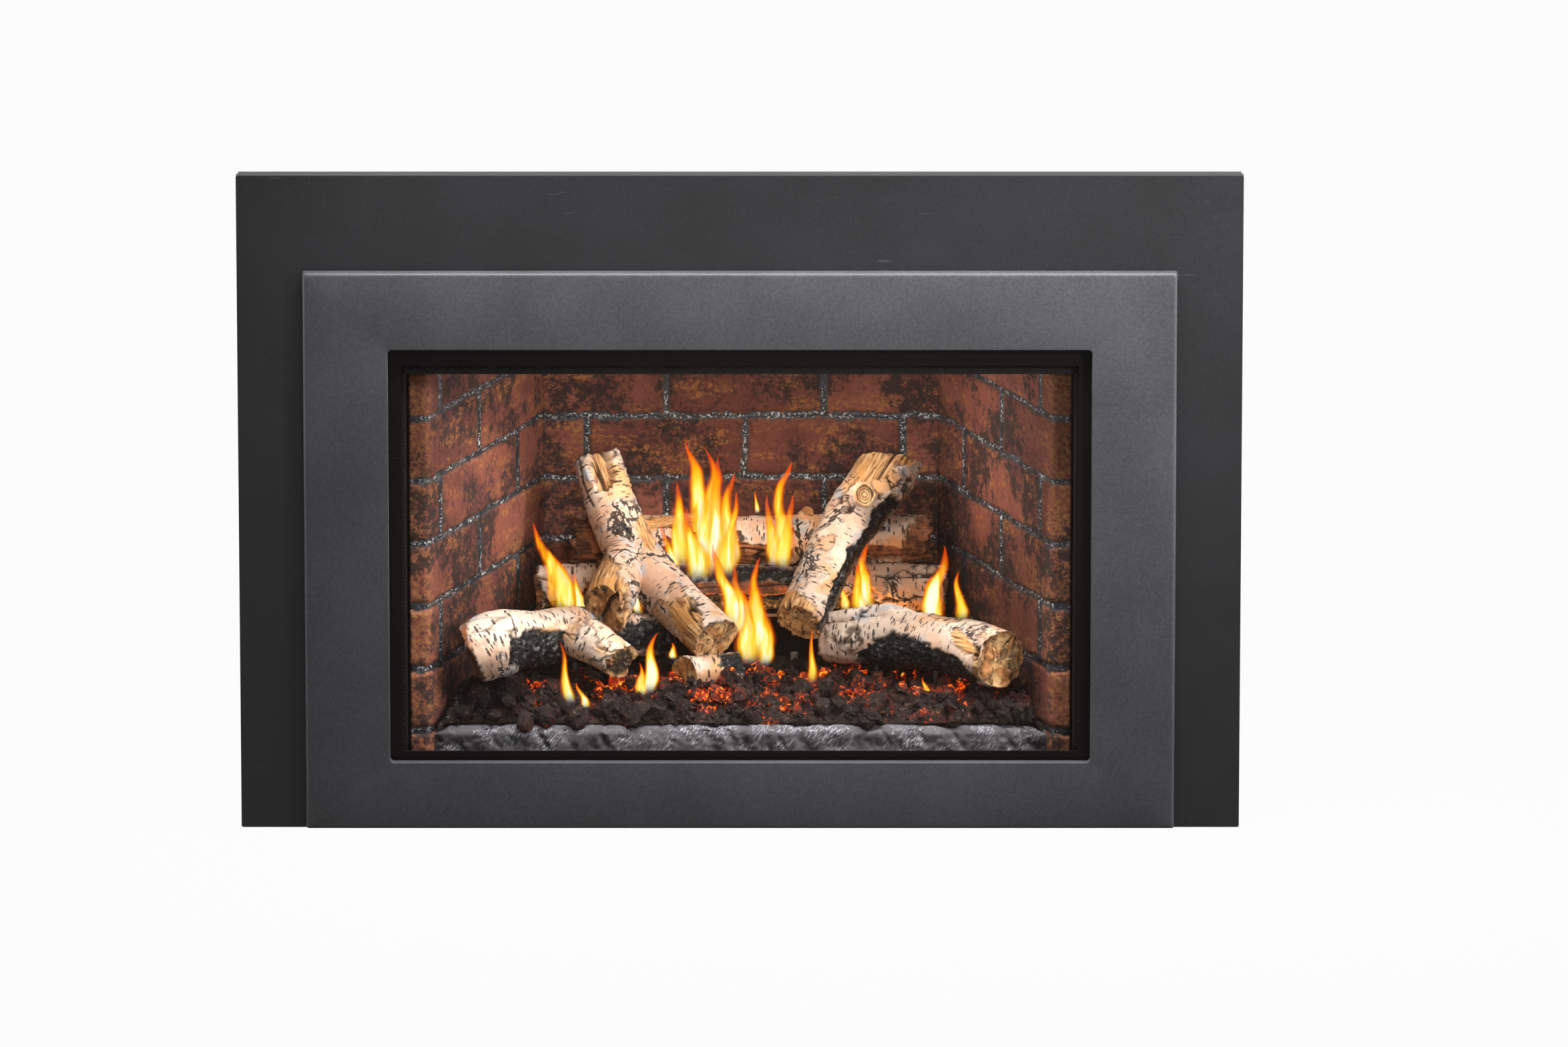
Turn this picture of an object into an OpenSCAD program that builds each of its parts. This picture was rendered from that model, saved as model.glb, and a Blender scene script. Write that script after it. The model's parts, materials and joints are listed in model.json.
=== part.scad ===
// Gas fireplace insert: flat steel surround, pull-off face frame, latched glass frame,
// brick-lined firebox with a log burner, and a lower bay with the valve, controls and blower.
// The front looks towards -Y. The hearth is z = 0 and x = 0 is the middle.

/* [Window] */
// Width of the viewing opening
open_w = 711.5; // [660:0.5:790]
// Height of the viewing opening
open_h = 429; // [380:1:480]
// Height of the viewing opening above the hearth
open_z = 71; // [70:0.5:74]
// Corner radius of the viewing opening
open_r = 4; // [3:0.5:8]

/* [Face frame] */
// Width of the face frame's side bands
face_side = 85.75; // [82:0.25:110]
// Height of the face frame's top band
face_top = 80; // [76:1:110]
// Sheet thickness of the face frame
face_t = 2; // [1.5:0.25:2.5]
// Distance from the face's front to the surround's front
face_proud = 12; // [11:0.5:16]
// Shadow gap between the face's turned edge and the surround
face_gap = 3; // [2:0.5:4]

/* [Surround] */
// How far the surround shows on each side of the face frame
surround_side = 66.5; // [40:0.5:140]
// How far the surround shows above the face frame
surround_top = 98; // [60:1:180]
// Depth of the edges that turn back to the wall
surround_d = 20; // [12:1:32]
// How far the surround reaches in behind the face
surround_hide = 31.5; // [28:0.5:34]

/* [Glass] */
// Width of the glass frame that shows at each side of the opening
frame_side = 13.25; // [10:0.25:18]
// Height of the glass frame that shows above and below
frame_rim = 14; // [12:0.5:18]
// Glass frame set back behind the face's front
glass_set = 9; // [8.5:0.5:11]
// Thickness of the ceramic glass
glass_t = 5; // [4:0.5:6]
// Thickness of the pressed gasket
gasket_t = 5; // [4:0.5:6]

/* [Casing] */
// Depth from the face's front to the rear screws' heads
insert_d = 425; // [420:1:480]
// How far the casing stands out past the opening on each side
casing_edge = 44.25; // [42:0.25:46]
// How far the casing rises above the opening
casing_rise = 57.5; // [53:0.5:60]
// How much each side of the casing comes in towards the back
casing_taper = 108; // [100:1:112]
// Sheet thickness of the casing and surround
sheet = 1.5; // [1:0.25:2]
// Depth of the straight front part of the casing sides
casing_straight = 94.5; // [85:0.5:100]
// Room behind the firebox for the blower's air
rear_space = 55; // [53:0.5:57]

/* [Firebox] */
// Height of the opening's lower edge above the firebox floor
floor_drop = 5; // [3:0.5:5]
// How far the opening's top is above the firebox roof
roof_drop = 18; // [16:1:22]
// How far the opening stands out past the firebox on each side
firebox_in = 3.75; // [1:0.25:4.75]
// How much each side of the firebox comes in towards the back
firebox_taper = 120; // [116:1:121]
// Plate thickness of the firebox
plate = 2; // [1.5:0.25:2.5]

/* [Brick panels] */
// Space between the brick panels' top and the firebox roof
brick_drop = 18; // [16:1:26]
// Depth from the firebox front to the brick's front edge
brick_set = 24.5; // [23:0.5:28]
// Gap between the brick's front edge and the firebox side
brick_gap = 16; // [15:0.5:17]
// Width of the brick's front edge up to its inner corner
brick_lip = 37.6; // [37:0.1:41]
// Gap between the rear corners of the bricks and the firebox
brick_back_gap = 28; // [27:0.5:32]
// Thickness of the rear brick panel
brick_t = 21; // [18:0.5:21.5]
// Radius of the brick's front corner
brick_r = 27; // [22:1:28]
// Height of one brick course with its joint
course_h = 65.3; // [60:0.1:70]
// Length of one brick with its joint
brick_len = 164; // [150:1:180]
// Width of the mortar joints
joint_w = 8; // [5:0.5:10]
// Depth of the mortar joints
joint_d = 3; // [1.5:0.5:4]

/* [Burner] */
// Height of the burner pan
pan_h = 31; // [28:1:33]
// Radius of the venturi tube
venturi_r = 12; // [11:0.5:12.5]
// Radius of one burner port
port_r = 1.75; // [1.5:0.25:2.5]
// Radius of the pins that hold the logs
pin_r = 3; // [2:0.5:3.5]
// How far the pins reach into the logs
pin_bite = 8; // [5:1:10]

/* [Flue collars] */
// Outer radius of the flue collars
collar_r = 38.1; // [36:0.1:39]
// Wall of the flue collars
collar_t = 1.2; // [1:0.1:2]
// Length of the collars above the casing top
collar_len = 42; // [35:1:60]
// Half of the distance between the two collars
collar_x = 75; // [66:1:76]

/* [Controls] */
// Radius of the gas inlet pipe
inlet_r = 8.55; // [8:0.05:9]
// Length of the gas inlet pipe outside the casing
inlet_len = 23; // [18:1:30]
// Radius of the pilot knob
pilot_knob_r = 15; // [12:0.5:16]
// Radius of the flame height knob
flame_knob_r = 12; // [10:0.5:13]
// Radius of the blower speed knob
blower_knob_r = 13; // [10:0.5:15]
// Travel of the igniter button
igniter_travel = 5; // [3:0.5:5.5]

/* [Blower] */
// Radius of the blower wheel
wheel_r = 22; // [20:0.5:23]
// Length of the blower wheel
wheel_len = 220; // [180:5:230]
// Radius of the levelling bolts
bolt_r = 4; // [3:0.5:5]

/* [Hidden] */
$fn = 48;

seat = 0.3;      // gap between pieces that rest or slide on each other
run_gap = 0.05;  // radial clearance of a turning or sliding fit
cut = 1;         // how far a cutter reaches past a face

// Widths and heights that follow the window
open_top = open_z + open_h;
face_w = open_w + 2 * face_side;
face_h = open_top + face_top;
surround_w = face_w + 2 * surround_side;
surround_h = face_h + surround_top;
sight_w = open_w - 2 * frame_side;
sight_h = open_h - 2 * frame_rim;
casing_w = open_w + 2 * casing_edge;
casing_back_w = casing_w - 2 * casing_taper;
casing_h = open_top + casing_rise;
floor_z = open_z - floor_drop;
firebox_top = open_top - roof_drop;
firebox_h = firebox_top - floor_z;
firebox_w = open_w - 2 * firebox_in;
firebox_back_w = firebox_w - 2 * firebox_taper;
brick_h = firebox_h - brick_drop;
brick_edge_w = firebox_w - 2 * brick_gap;
brick_front_w = brick_edge_w - 2 * brick_lip;
brick_back_w = firebox_back_w - 2 * brick_back_gap;

// Depth stations
face_y = -insert_d / 2;
surround_y = face_y + face_proud;
flange_y = surround_y + sheet;
flange_t = 2;
casing_y = flange_y + flange_t;
screw_r = 2;
screw_head_r = 3.5;
screw_head_t = 2.2;
back_y = insert_d / 2 - screw_head_t;
bezel_y = face_y + glass_set;
pane_y = bezel_y + sheet;
gasket_y = pane_y + glass_t;
frame_y = gasket_y + gasket_t;
firebox_y = frame_y + plate;
firebox_back_y = insert_d / 2 - rear_space;
brick_rear_y = firebox_back_y - 2 - brick_t;
log_depth = 347;                 // depth from the face to the rear bricks that the log set is made for
log_deep = (brick_rear_y - face_y) / log_depth;
function deep(d) = face_y + d * log_deep;
brick_y = firebox_y + brick_set;
bend_y = casing_y + casing_straight;

// Heights
face_z = 1;
sight_drop = 4;  // the clear opening sits a little low in the face's opening
sight_z = open_z + frame_rim - sight_drop;
roof_z = firebox_top + plate;
brick_top = floor_z + brick_h;
pan_top = floor_z + pan_h;
base_top = sheet;
roof_in = casing_h - sheet;

// Surround and flange
hide_x = face_w / 2 - surround_hide;
hide_top = face_h - 14;
flange_in_x = casing_w / 2 - 15;
flange_out_x = face_w / 2 - 4.5;
flange_top = face_h + 10;
fix_x = face_w / 2 - 17.5;
fix_z = [open_z - 11, face_h - 60];
screw_z = [open_z + 79, face_h - 180];
face_pin_r = 4;
socket_r = 7;

function flip(list) = [for (p = list) [-p[0], p[1]]];
function sides(list) = concat(list, [for (i = [len(list) - 1 : -1 : 0]) [-list[i][0], list[i][1]]]);

// A rectangle centred on x = 0, standing on z, drawn in the plane of the front
module wall_plate(w, h, z, y, t) translate([-w / 2, y, z]) cube([w, t, h]);

// A rectangle with round corners, standing on z, t thick
module round_plate(w, h, z, y, t, r) {
    translate([0, y + t, z]) rotate([90, 0, 0]) linear_extrude(t) union() {
        translate([-w / 2 + r, 0]) square([w - 2 * r, h]);
        translate([-w / 2, r]) square([w, h - 2 * r]);
        for (x = [-w / 2 + r, w / 2 - r], q = [r, h - r]) translate([x, q]) circle(r);
    }
}

module rod_y(x, y, z, r, len) translate([x, y, z]) rotate([-90, 0, 0]) cylinder(h = len, r = r);
module rod_x(x, y, z, r, len) translate([x, y, z]) rotate([0, 90, 0]) cylinder(h = len, r = r);
module rod_z(x, y, z, r, len) translate([x, y, z]) cylinder(h = len, r = r);

// ---- Surround -------------------------------------------------------------

module surround_panel() color("#2c2c2e") difference() {
    union() {
        round_plate(surround_w, surround_h, 0, surround_y, sheet, 2);
        for (s = [-1, 1])
            translate([s * (surround_w - sheet) / 2 - sheet / 2, surround_y + sheet - cut, 2])
                cube([sheet, surround_d - sheet + cut, surround_h - 4]);
        wall_plate(surround_w - 4, sheet, surround_h - sheet, surround_y + sheet - cut,
            surround_d - sheet + cut);
    }
    translate([-hide_x, surround_y - cut, -cut])
        cube([2 * hide_x, surround_d + 2 * cut, hide_top + cut]);
    for (s = [-1, 1], z = fix_z) rod_y(s * fix_x, surround_y - cut, z, face_pin_r + 1, sheet + 2 * cut);
    for (p = surround_screw_places()) rod_y(p[0], surround_y - cut, p[1], screw_r + seat, sheet + 2 * cut);
}

// Button-head screws that hold the surround to the flange and the rear panel to the casing
top_screw_x = 200;
top_screw_z = (hide_top + face_h - face_t) / 2;
function surround_screw_places() = concat(
    [for (s = [-1, 1], z = screw_z) [s * fix_x, z]],
    [for (s = [-1, 1]) [s * top_screw_x, top_screw_z]]);
back_screw_x = [-casing_back_w / 2 + 14, 0, casing_back_w / 2 - 14];
back_screw_z = [90, 300, casing_h - 37.5];

module panel_screws() color("#1d1d1f") {
    for (p = surround_screw_places()) union() {
        rod_y(p[0], surround_y - screw_head_t, p[1], screw_head_r, screw_head_t);
        rod_y(p[0], surround_y - cut, p[1], screw_r, sheet + flange_t + cut);
    }
    for (x = back_screw_x, z = back_screw_z) union() {
        rod_y(x, back_y - sheet, z, screw_r, sheet + screw_head_t);
        rod_y(x, back_y, z, screw_head_r, screw_head_t);
    }
}

// ---- Face frame -----------------------------------------------------------

face_return = face_proud - face_gap;
open_return = glass_set - 1;

module face_frame() color("#58595c") difference() {
    union() {
        difference() {
            round_plate(face_w, face_h - face_z, face_z, face_y, face_return, 2);
            round_plate(face_w - 2 * face_t, face_h - face_z - 2 * face_t, face_z + face_t,
                face_y + face_t, face_return, 1);
        }
        round_plate(open_w + 2 * face_t, open_h + 2 * face_t, open_z - face_t,
            face_y + face_t / 2, open_return - face_t / 2, open_r + face_t);
        for (s = [-1, 1], z = fix_z)
            rod_y(s * fix_x, face_y + face_t / 2, z, socket_r, face_proud - seat - face_t / 2);
    }
    round_plate(open_w, open_h, open_z, face_y - cut, face_proud + 2 * cut, open_r);
    for (s = [-1, 1], z = fix_z)
        rod_y(s * fix_x, face_y + face_t, z, face_pin_r + run_gap, face_proud);
}

// ---- Casing ---------------------------------------------------------------

slope_back = (casing_w - casing_back_w) / 2 / (back_y - sheet - bend_y);
wall_x = sheet * sqrt(1 + pow(slope_back, 2));
casing_outer = [[casing_w / 2, casing_y], [casing_w / 2, bend_y], [casing_back_w / 2, back_y - sheet]];
casing_inner = [[casing_w / 2 - sheet, casing_y], [casing_w / 2 - sheet, bend_y - 0.2],
    [casing_back_w / 2 - wall_x, back_y - sheet]];
control_y = 72.5 + face_y;       // line of the gas pipe and valve
control_z = 32;                  // height of the gas pipe and valve
box_z = 24;                      // height of the cable entry
entry_r = 8;

module casing_flange() color("#2b2b2c") union() {
    difference() {
        wall_plate(2 * flange_out_x, flange_top, 0, flange_y, flange_t);
        translate([-flange_in_x, flange_y - cut, -cut])
            cube([2 * flange_in_x, flange_t + 2 * cut, casing_h - 12 + cut]);
        for (p = surround_screw_places()) rod_y(p[0], flange_y - cut, p[1], screw_r, flange_t + 2 * cut);
    }
    for (s = [-1, 1], z = fix_z)
        rod_y(s * fix_x, face_y + face_t + seat, z, face_pin_r, flange_y - face_y - face_t);
}

module casing_base() color("#5c5d5e") difference() {
    union() {
        linear_extrude(sheet) polygon(sides(casing_inner));
        for (s = [-1, 1]) rod_z(s * bolt_x, bolt_y, base_top / 2, bolt_r + 5, 12);
    }
    for (s = [-1, 1]) rod_z(s * bolt_x, bolt_y, -cut, bolt_r + run_gap, 20);
}

module casing_side(list) linear_extrude(roof_in) polygon(list);

side_strip = concat(casing_outer, [for (i = [2 : -1 : 0]) casing_inner[i]]);

module casing_left() color("#5c5d5e") difference() {
    casing_side(flip(side_strip));
    rod_x(-casing_w / 2 - cut, control_y, control_z, inlet_r + seat, sheet + 2 * cut);
}

module casing_right() color("#5c5d5e") difference() {
    casing_side(side_strip);
    rod_x(casing_w / 2 - sheet - cut, control_y, box_z, entry_r + seat, sheet + 2 * cut);
}

module casing_rear() color("#5c5d5e") difference() {
    wall_plate(casing_back_w, roof_in, 0, back_y - sheet, sheet);
    for (x = back_screw_x, z = back_screw_z) rod_y(x, back_y - sheet - cut, z, screw_r, sheet + 2 * cut);
}

roof_outline = concat(casing_outer, [[casing_back_w / 2, back_y]]);

module casing_top() color("#5c5d5e") difference() {
    translate([0, 0, roof_in]) linear_extrude(sheet) polygon(sides(roof_outline));
    for (s = [-1, 1]) rod_z(s * collar_x, collar_y, roof_in - cut, collar_r + seat, sheet + 2 * cut);
}

// ---- Firebox --------------------------------------------------------------

ear_x = open_w / 2 - 105.75;     // where the glass latches turn
ear_z = open_z - 20;
ear_w = 26;
frame_low = floor_z - 8;
frame_high = open_top + 30;
hole_w = sight_w - 9;
hole_z = sight_z - 9;
hole_h = sight_h - 2;

module firebox_frame() color("#262423") union() {
    difference() {
        union() {
            wall_plate(casing_w - 2 * sheet, frame_high - frame_low, frame_low, frame_y, plate);
            for (s = [-1, 1])
                translate([s * ear_x - ear_w / 2, frame_y, ear_z - 8])
                    cube([ear_w, plate, frame_low - ear_z + 8 + cut]);
        }
        wall_plate(hole_w, hole_h, hole_z, frame_y - cut, plate + 2 * cut);
    }
    for (s = [-1, 1]) union() {
        rod_y(s * ear_x, latch_y - 2, ear_z, latch_pin_r, frame_y - latch_y + 2 + plate / 2);
        rod_y(s * ear_x, latch_y - 2 - seat, ear_z, latch_pin_r + 3, 2);
        rod_y(s * ear_x, latch_y + latch_t + seat, ear_z, latch_pin_r + 3, frame_y - latch_y - latch_t);
    }
}

fire_outer = [[firebox_w / 2 + plate, firebox_y], [firebox_back_w / 2 + plate, firebox_back_y + plate]];

// Relief flaps on the firebox roof
flap_x = firebox_back_w / 2 - 17;
flap_w = 110;
flap_d = 78;
flap_y = firebox_y + 81.5;
flap_axis_y = flap_y + flap_d;
flap_barrel_r = 4.5;
flap_pin_r = 2;
flap_axis_z = roof_z + flap_barrel_r + seat;
knuckle_w = 9;

// Restrictor rails under the exhaust collar
collar_y = deep(230);
slide_w = 94;
slide_t = 2;
slide_z = firebox_top - 6;
rail_x0 = collar_x - 54;
rail_len = 182;

venturi_x = -60;
venturi_y = deep(150);

module firebox_shell() color("#302e2d") difference() {
    union() {
        difference() {
            translate([0, 0, floor_z - plate]) linear_extrude(firebox_h + 2 * plate)
                polygon(sides(fire_outer));
            translate([0, -cut, floor_z]) linear_extrude(firebox_h) polygon(sides([
                [firebox_w / 2, firebox_y], [firebox_back_w / 2, firebox_back_y + cut]]));
            translate([-firebox_w / 2, firebox_y - 2 * cut, floor_z]) cube([firebox_w, 3 * cut, firebox_h]);
            for (s = [-1, 1]) {
                rod_z(s * collar_x, collar_y, firebox_top - cut, collar_r - collar_t, plate + 2 * cut);
                translate([s * flap_x - flap_w / 2 + 8, flap_y + 8, firebox_top - cut])
                    cube([flap_w - 16, flap_d - 24, plate + 2 * cut]);
            }
            rod_z(venturi_x, venturi_y, floor_z - plate - cut, venturi_r + 2, plate + 2 * cut);
        }
        for (s = [-1, 1]) {
            for (e = [-1, 1]) translate([s * flap_x + e * (flap_w / 2 - knuckle_w / 2) - knuckle_w / 2, 0, 0])
                union() {
                    rod_x(0, flap_axis_y, flap_axis_z, flap_barrel_r, knuckle_w);
                    translate([0, flap_axis_y - flap_barrel_r, roof_z - plate / 2])
                        cube([knuckle_w, 2 * flap_barrel_r, flap_axis_z - roof_z + plate / 2]);
                }
            rod_x(s * flap_x - flap_w / 2 + knuckle_w / 2, flap_axis_y, flap_axis_z, flap_pin_r,
                flap_w - knuckle_w);
        }
        for (s = [-1, 1]) translate([rail_x0, collar_y, 0]) mirror([0, s < 0 ? 1 : 0, 0]) union() {
            translate([0, slide_w / 2 + seat, slide_z - slide_t - seat])
                cube([rail_len, slide_t, firebox_top - slide_z + slide_t + seat + plate / 2]);
            translate([0, slide_w / 2 - 6, slide_z - slide_t - seat]) cube([rail_len, 8, slide_t]);
        }
    }
}

module relief_flap(s) color("#6b6966") difference() {
    union() {
        translate([s * flap_x - flap_w / 2, flap_y, roof_z + seat])
            cube([flap_w, flap_d - flap_barrel_r - 1, plate]);
        translate([s * flap_x - flap_w / 2 + knuckle_w + seat, flap_y + flap_d / 2, roof_z + seat])
            cube([flap_w - 2 * knuckle_w - 2 * seat, flap_d / 2, plate]);
        rod_x(s * flap_x - flap_w / 2 + knuckle_w + seat, flap_axis_y, flap_axis_z, flap_barrel_r,
            flap_w - 2 * knuckle_w - 2 * seat);
    }
    rod_x(s * flap_x - flap_w, flap_axis_y, flap_axis_z, flap_pin_r + run_gap, 2 * flap_w);
}

module relief_flap_left() relief_flap(-1);
module relief_flap_right() relief_flap(1);

restrictor_len = 80;
restrictor_x0 = collar_x + collar_r + 2;

module restrictor_plate() color("#7b7a78") union() {
    translate([restrictor_x0, collar_y - slide_w / 2, slide_z]) cube([restrictor_len, slide_w, slide_t]);
    translate([restrictor_x0, collar_y - slide_w / 4, slide_z - 7]) cube([slide_t, slide_w / 2, 8]);
}

// ---- Brick panels ---------------------------------------------------------

// The inner wall line runs from the front corner to the back; the front corner is round.
wall_run = brick_rear_y - brick_y;
wall_in = (brick_front_w - brick_back_w) / 2;
wall_angle = atan(wall_in / wall_run);
function wall_half(y) = brick_back_w / 2 + (brick_rear_y - y) * wall_in / wall_run;
turn = 90 - wall_angle;
tangent = brick_r * tan(turn / 2);
corner_x = brick_front_w / 2 + tangent;
brick_wall_t = 24;
lip_d = 17;

function brick_corner(n) = [for (i = [0 : n]) let (a = 90 + turn * i / n)
    [corner_x - brick_r * sin(turn * i / n), brick_y + brick_r - brick_r * cos(turn * i / n)]];
brick_plan = concat([[brick_edge_w / 2, brick_y]], brick_corner(8),
    [[brick_back_w / 2, brick_rear_y - seat], [brick_back_w / 2 + brick_wall_t, brick_rear_y - seat],
     [brick_back_w / 2 + brick_wall_t + (wall_run - lip_d) * tan(wall_angle), brick_y + lip_d],
     [brick_edge_w / 2, brick_y + lip_d]]);

// Heights of the mortar joints, counted from the lowest one
first_joint = floor_z + 25.5;
joint_rows = [for (z = [first_joint : course_h : brick_top - joint_w]) z];

module brick_side_joints() for (z = joint_rows) translate([0, 0, z - joint_w / 2]) linear_extrude(joint_w)
    polygon(concat(
        [for (p = brick_corner(8)) [p[0] - cut, p[1] - cut]],
        [[brick_back_w / 2 - cut, brick_rear_y + cut], [brick_back_w / 2 + joint_d, brick_rear_y + cut]],
        [for (i = [8 : -1 : 0]) let (p = brick_corner(8)[i]) [p[0] + joint_d * cos(turn * i / 8 / 2),
            p[1] + joint_d]]));

module brick_side_panel() difference() {
    translate([0, 0, floor_z]) linear_extrude(brick_h) polygon(brick_plan);
    brick_side_joints();
}

module brick_panel_left() color("#7a4538") mirror([1, 0, 0]) brick_side_panel();
module brick_panel_right() color("#7a4538") brick_side_panel();

rear_half = brick_back_w / 2 + brick_wall_t;

module brick_panel_rear() color("#7a4538") difference() {
    translate([-rear_half, brick_rear_y, floor_z]) cube([2 * rear_half, brick_t, brick_h]);
    for (z = joint_rows) translate([-brick_back_w / 2, brick_rear_y - cut, z - joint_w / 2])
        cube([brick_back_w, joint_d + cut, joint_w]);
    for (i = [0 : len(joint_rows) - 1], n = [-1, 0, 1, 2])
        let (x = (n - (i % 2 == 0 ? 0.5 : 0)) * brick_len + 4)
            if (abs(x) < brick_back_w / 2 - joint_w)
                translate([x - joint_w / 2, brick_rear_y - cut, joint_rows[i]])
                    cube([joint_w, joint_d + cut, min(course_h, brick_top + cut - joint_rows[i])]);
}

// Folded clips between the brick panels and the firebox wall
clip_x = 120;
clip_w = 22;
module brick_clips() color("#8b8b88") for (s = [-1, 1], z = [floor_z + 120, floor_z + 300]) {
    translate([s * clip_x - clip_w / 2, brick_rear_y + brick_t, z])
        cube([clip_w, firebox_back_y - brick_rear_y - brick_t, 16]);
}

baffle_front = 90;

module baffle_plate() color("#3a3836") translate([0, 0, brick_top]) linear_extrude(plate) polygon(sides([
    [brick_front_w / 2 - 6, face_y + baffle_front],
    [rear_half - 2, brick_rear_y + brick_t]]));

// ---- Glass ----------------------------------------------------------------

bezel_w = open_w + 21;
bezel_h = open_h + 15;
bezel_z = open_z - 7;
bezel_d = frame_y - bezel_y - 1;
pane_w = bezel_w - 2 * sheet - 2;
pane_h = bezel_h - 2 * sheet - 2;
pane_z = bezel_z + sheet + 1;

module glass_frame() color("#2a2725") difference() {
    wall_plate(bezel_w, bezel_h, bezel_z, bezel_y, bezel_d);
    wall_plate(bezel_w - 2 * sheet, bezel_h - 2 * sheet, bezel_z + sheet, pane_y, bezel_d);
    wall_plate(sight_w, sight_h, sight_z, bezel_y - cut, bezel_d);
}

module glass_pane() color([0.6, 0.7, 0.72, 0.25]) wall_plate(pane_w, pane_h, pane_z, pane_y, glass_t);

module glass_gasket() color("#c9c4b8") difference() {
    wall_plate(pane_w, pane_h, pane_z, gasket_y, gasket_t);
    wall_plate(hole_w + 4, hole_h + 4, hole_z - 2, gasket_y - cut, gasket_t + 2 * cut);
}

// Spring clips pressed between the frame's edge and the glass
module glass_clips() color("#9a9c9e") for (s = [-1, 1], x = [-240, 0, 240]) {
    translate([x - clip_w / 2, pane_y + 0.5, s < 0 ? bezel_z + sheet : pane_z + pane_h])
        cube([clip_w, glass_t - 1, 1]);
}

latch_t = 2;
latch_y = bezel_y - latch_t - seat;
latch_pin_r = 3;
latch_len = 36;
latch_up = bezel_z + 3.5 - ear_z;

module glass_latch(s) color("#8d8f92") difference() {
    union() {
        translate([s * ear_x - 6, latch_y, ear_z]) cube([12, latch_t, latch_up]);
        rod_y(s * ear_x, latch_y, ear_z, 8, latch_t);
        translate([s > 0 ? ear_x - latch_len : -ear_x, latch_y, ear_z - 6]) cube([latch_len, latch_t, 12]);
        rod_y(s * (ear_x - latch_len), latch_y, ear_z, 6, latch_t);
    }
    rod_y(s * ear_x, latch_y - cut, ear_z, latch_pin_r + run_gap, latch_t + 2 * cut);
}

module glass_latch_left() glass_latch(-1);
module glass_latch_right() glass_latch(1);

// ---- Burner and embers ----------------------------------------------------

pan_front_y = deep(80);
pan_back_y = deep(300);
pan_gap = 5;                     // between the pan's front corners and the bricks
pan_front_x = wall_half(pan_front_y) - pan_gap;
pan_back_x = wall_half(pan_back_y) - 19;
pan_plan = [[pan_front_x, pan_front_y], [pan_back_x, pan_back_y]];
pan_hollow = [[pan_front_x - 2 * sheet, pan_front_y + sheet], [pan_back_x - 2 * sheet, pan_back_y - sheet]];
port_rows = [[deep(122), 15], [deep(196), 13], [deep(236), 11]];
port_pitch = 32;
venturi_low = 28;

module burner_pan() color("#4a4846") difference() {
    union() {
        difference() {
            translate([0, 0, floor_z]) linear_extrude(pan_h) polygon(sides(pan_plan));
            translate([0, 0, floor_z - cut]) linear_extrude(pan_h - sheet + cut)
                polygon(sides(pan_hollow));
        }
        rod_z(venturi_x, venturi_y, venturi_low, venturi_r, pan_top - sheet / 2 - venturi_low);
        rod_z(venturi_x, venturi_y, shutter_z - 2 - seat, venturi_r + 3, 2);
    }
    rod_z(venturi_x, venturi_y, venturi_low - cut, venturi_r - 1.2, pan_top - sheet - venturi_low + cut);
    for (a = [0, 180]) translate([venturi_x, venturi_y, shutter_z + 4]) rotate([0, 0, a])
        translate([0, -4, 0]) cube([venturi_r + 5, 8, shutter_h - 8]);
    for (row = port_rows, i = [0 : row[1] - 1])
        rod_z((i - (row[1] - 1) / 2) * port_pitch, row[0], pan_top - 2 * sheet, port_r, 3 * sheet);
    translate([venturi_x - venturi_r - cut, venturi_y - 4, floor_z + 6])
        cube([2 * venturi_r + 2 * cut, 8, 14]);
}

shutter_z = 34;
shutter_h = 18;

module air_shutter() color("#b0905a") difference() {
    union() {
        rod_z(venturi_x, venturi_y, shutter_z, venturi_r + 1.6, shutter_h);
        translate([venturi_x - 4, venturi_y - venturi_r - 16, shutter_z + shutter_h / 2 - 1])
            cube([8, 16, 2]);
    }
    rod_z(venturi_x, venturi_y, shutter_z - cut, venturi_r + run_gap, shutter_h + 2 * cut);
    for (a = [0, 180]) translate([venturi_x, venturi_y, shutter_z + 4]) rotate([0, 0, a])
        translate([venturi_r - 2, -4, 0]) cube([6, 8, shutter_h - 8]);
}

manifold_z = 16;
manifold_r = 5;
valve_x0 = -228;
valve_w = 76;
valve_d = 46;
valve_z = 7;
valve_h = 44;
valve_y = control_y - valve_d / 2;

module gas_manifold() color("#b9a06a") difference() {
    union() {
        rod_x(valve_x0 + valve_w + 8, control_y, manifold_z, manifold_r,
            venturi_x - valve_x0 - valve_w - 8);
        translate([venturi_x, control_y, manifold_z]) sphere(manifold_r + 0.4);
        rod_y(venturi_x, control_y, manifold_z, manifold_r, venturi_y - control_y);
        rod_z(venturi_x, venturi_y, manifold_z - 7, 8, 16);
        rod_z(venturi_x, venturi_y, manifold_z + 7, 4.5, 14);
    }
    rod_z(venturi_x, venturi_y, manifold_z + 4, 1.2, 24);
}

pilot_x = 40;
pilot_y = deep(214);

module pilot_bracket() color("#8f8f8d") union() {
    translate([pilot_x - 24, pilot_y - 9, pan_top]) cube([48, 18, 2]);
    translate([pilot_x - 24, pilot_y + 7, pan_top + 1]) cube([48, 2, 22]);
    difference() {
        rod_z(pilot_x, pilot_y, pan_top + 1, 6, 30);
        rod_z(pilot_x, pilot_y, pan_top + 14, 4.6, 20);
        translate([pilot_x - 12, pilot_y - 3, pan_top + 20]) cube([24, 6, 6]);
    }
}

module pilot_probes() color("#d8d4c8") {
    rod_z(pilot_x - 15, pilot_y, pan_top + 2, 3.2, 30);
    rod_z(pilot_x + 15, pilot_y, pan_top + 2, 3.8, 34);
}

strip_front_y = brick_y + 2;
strip_back_y = face_y + 70;

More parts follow.
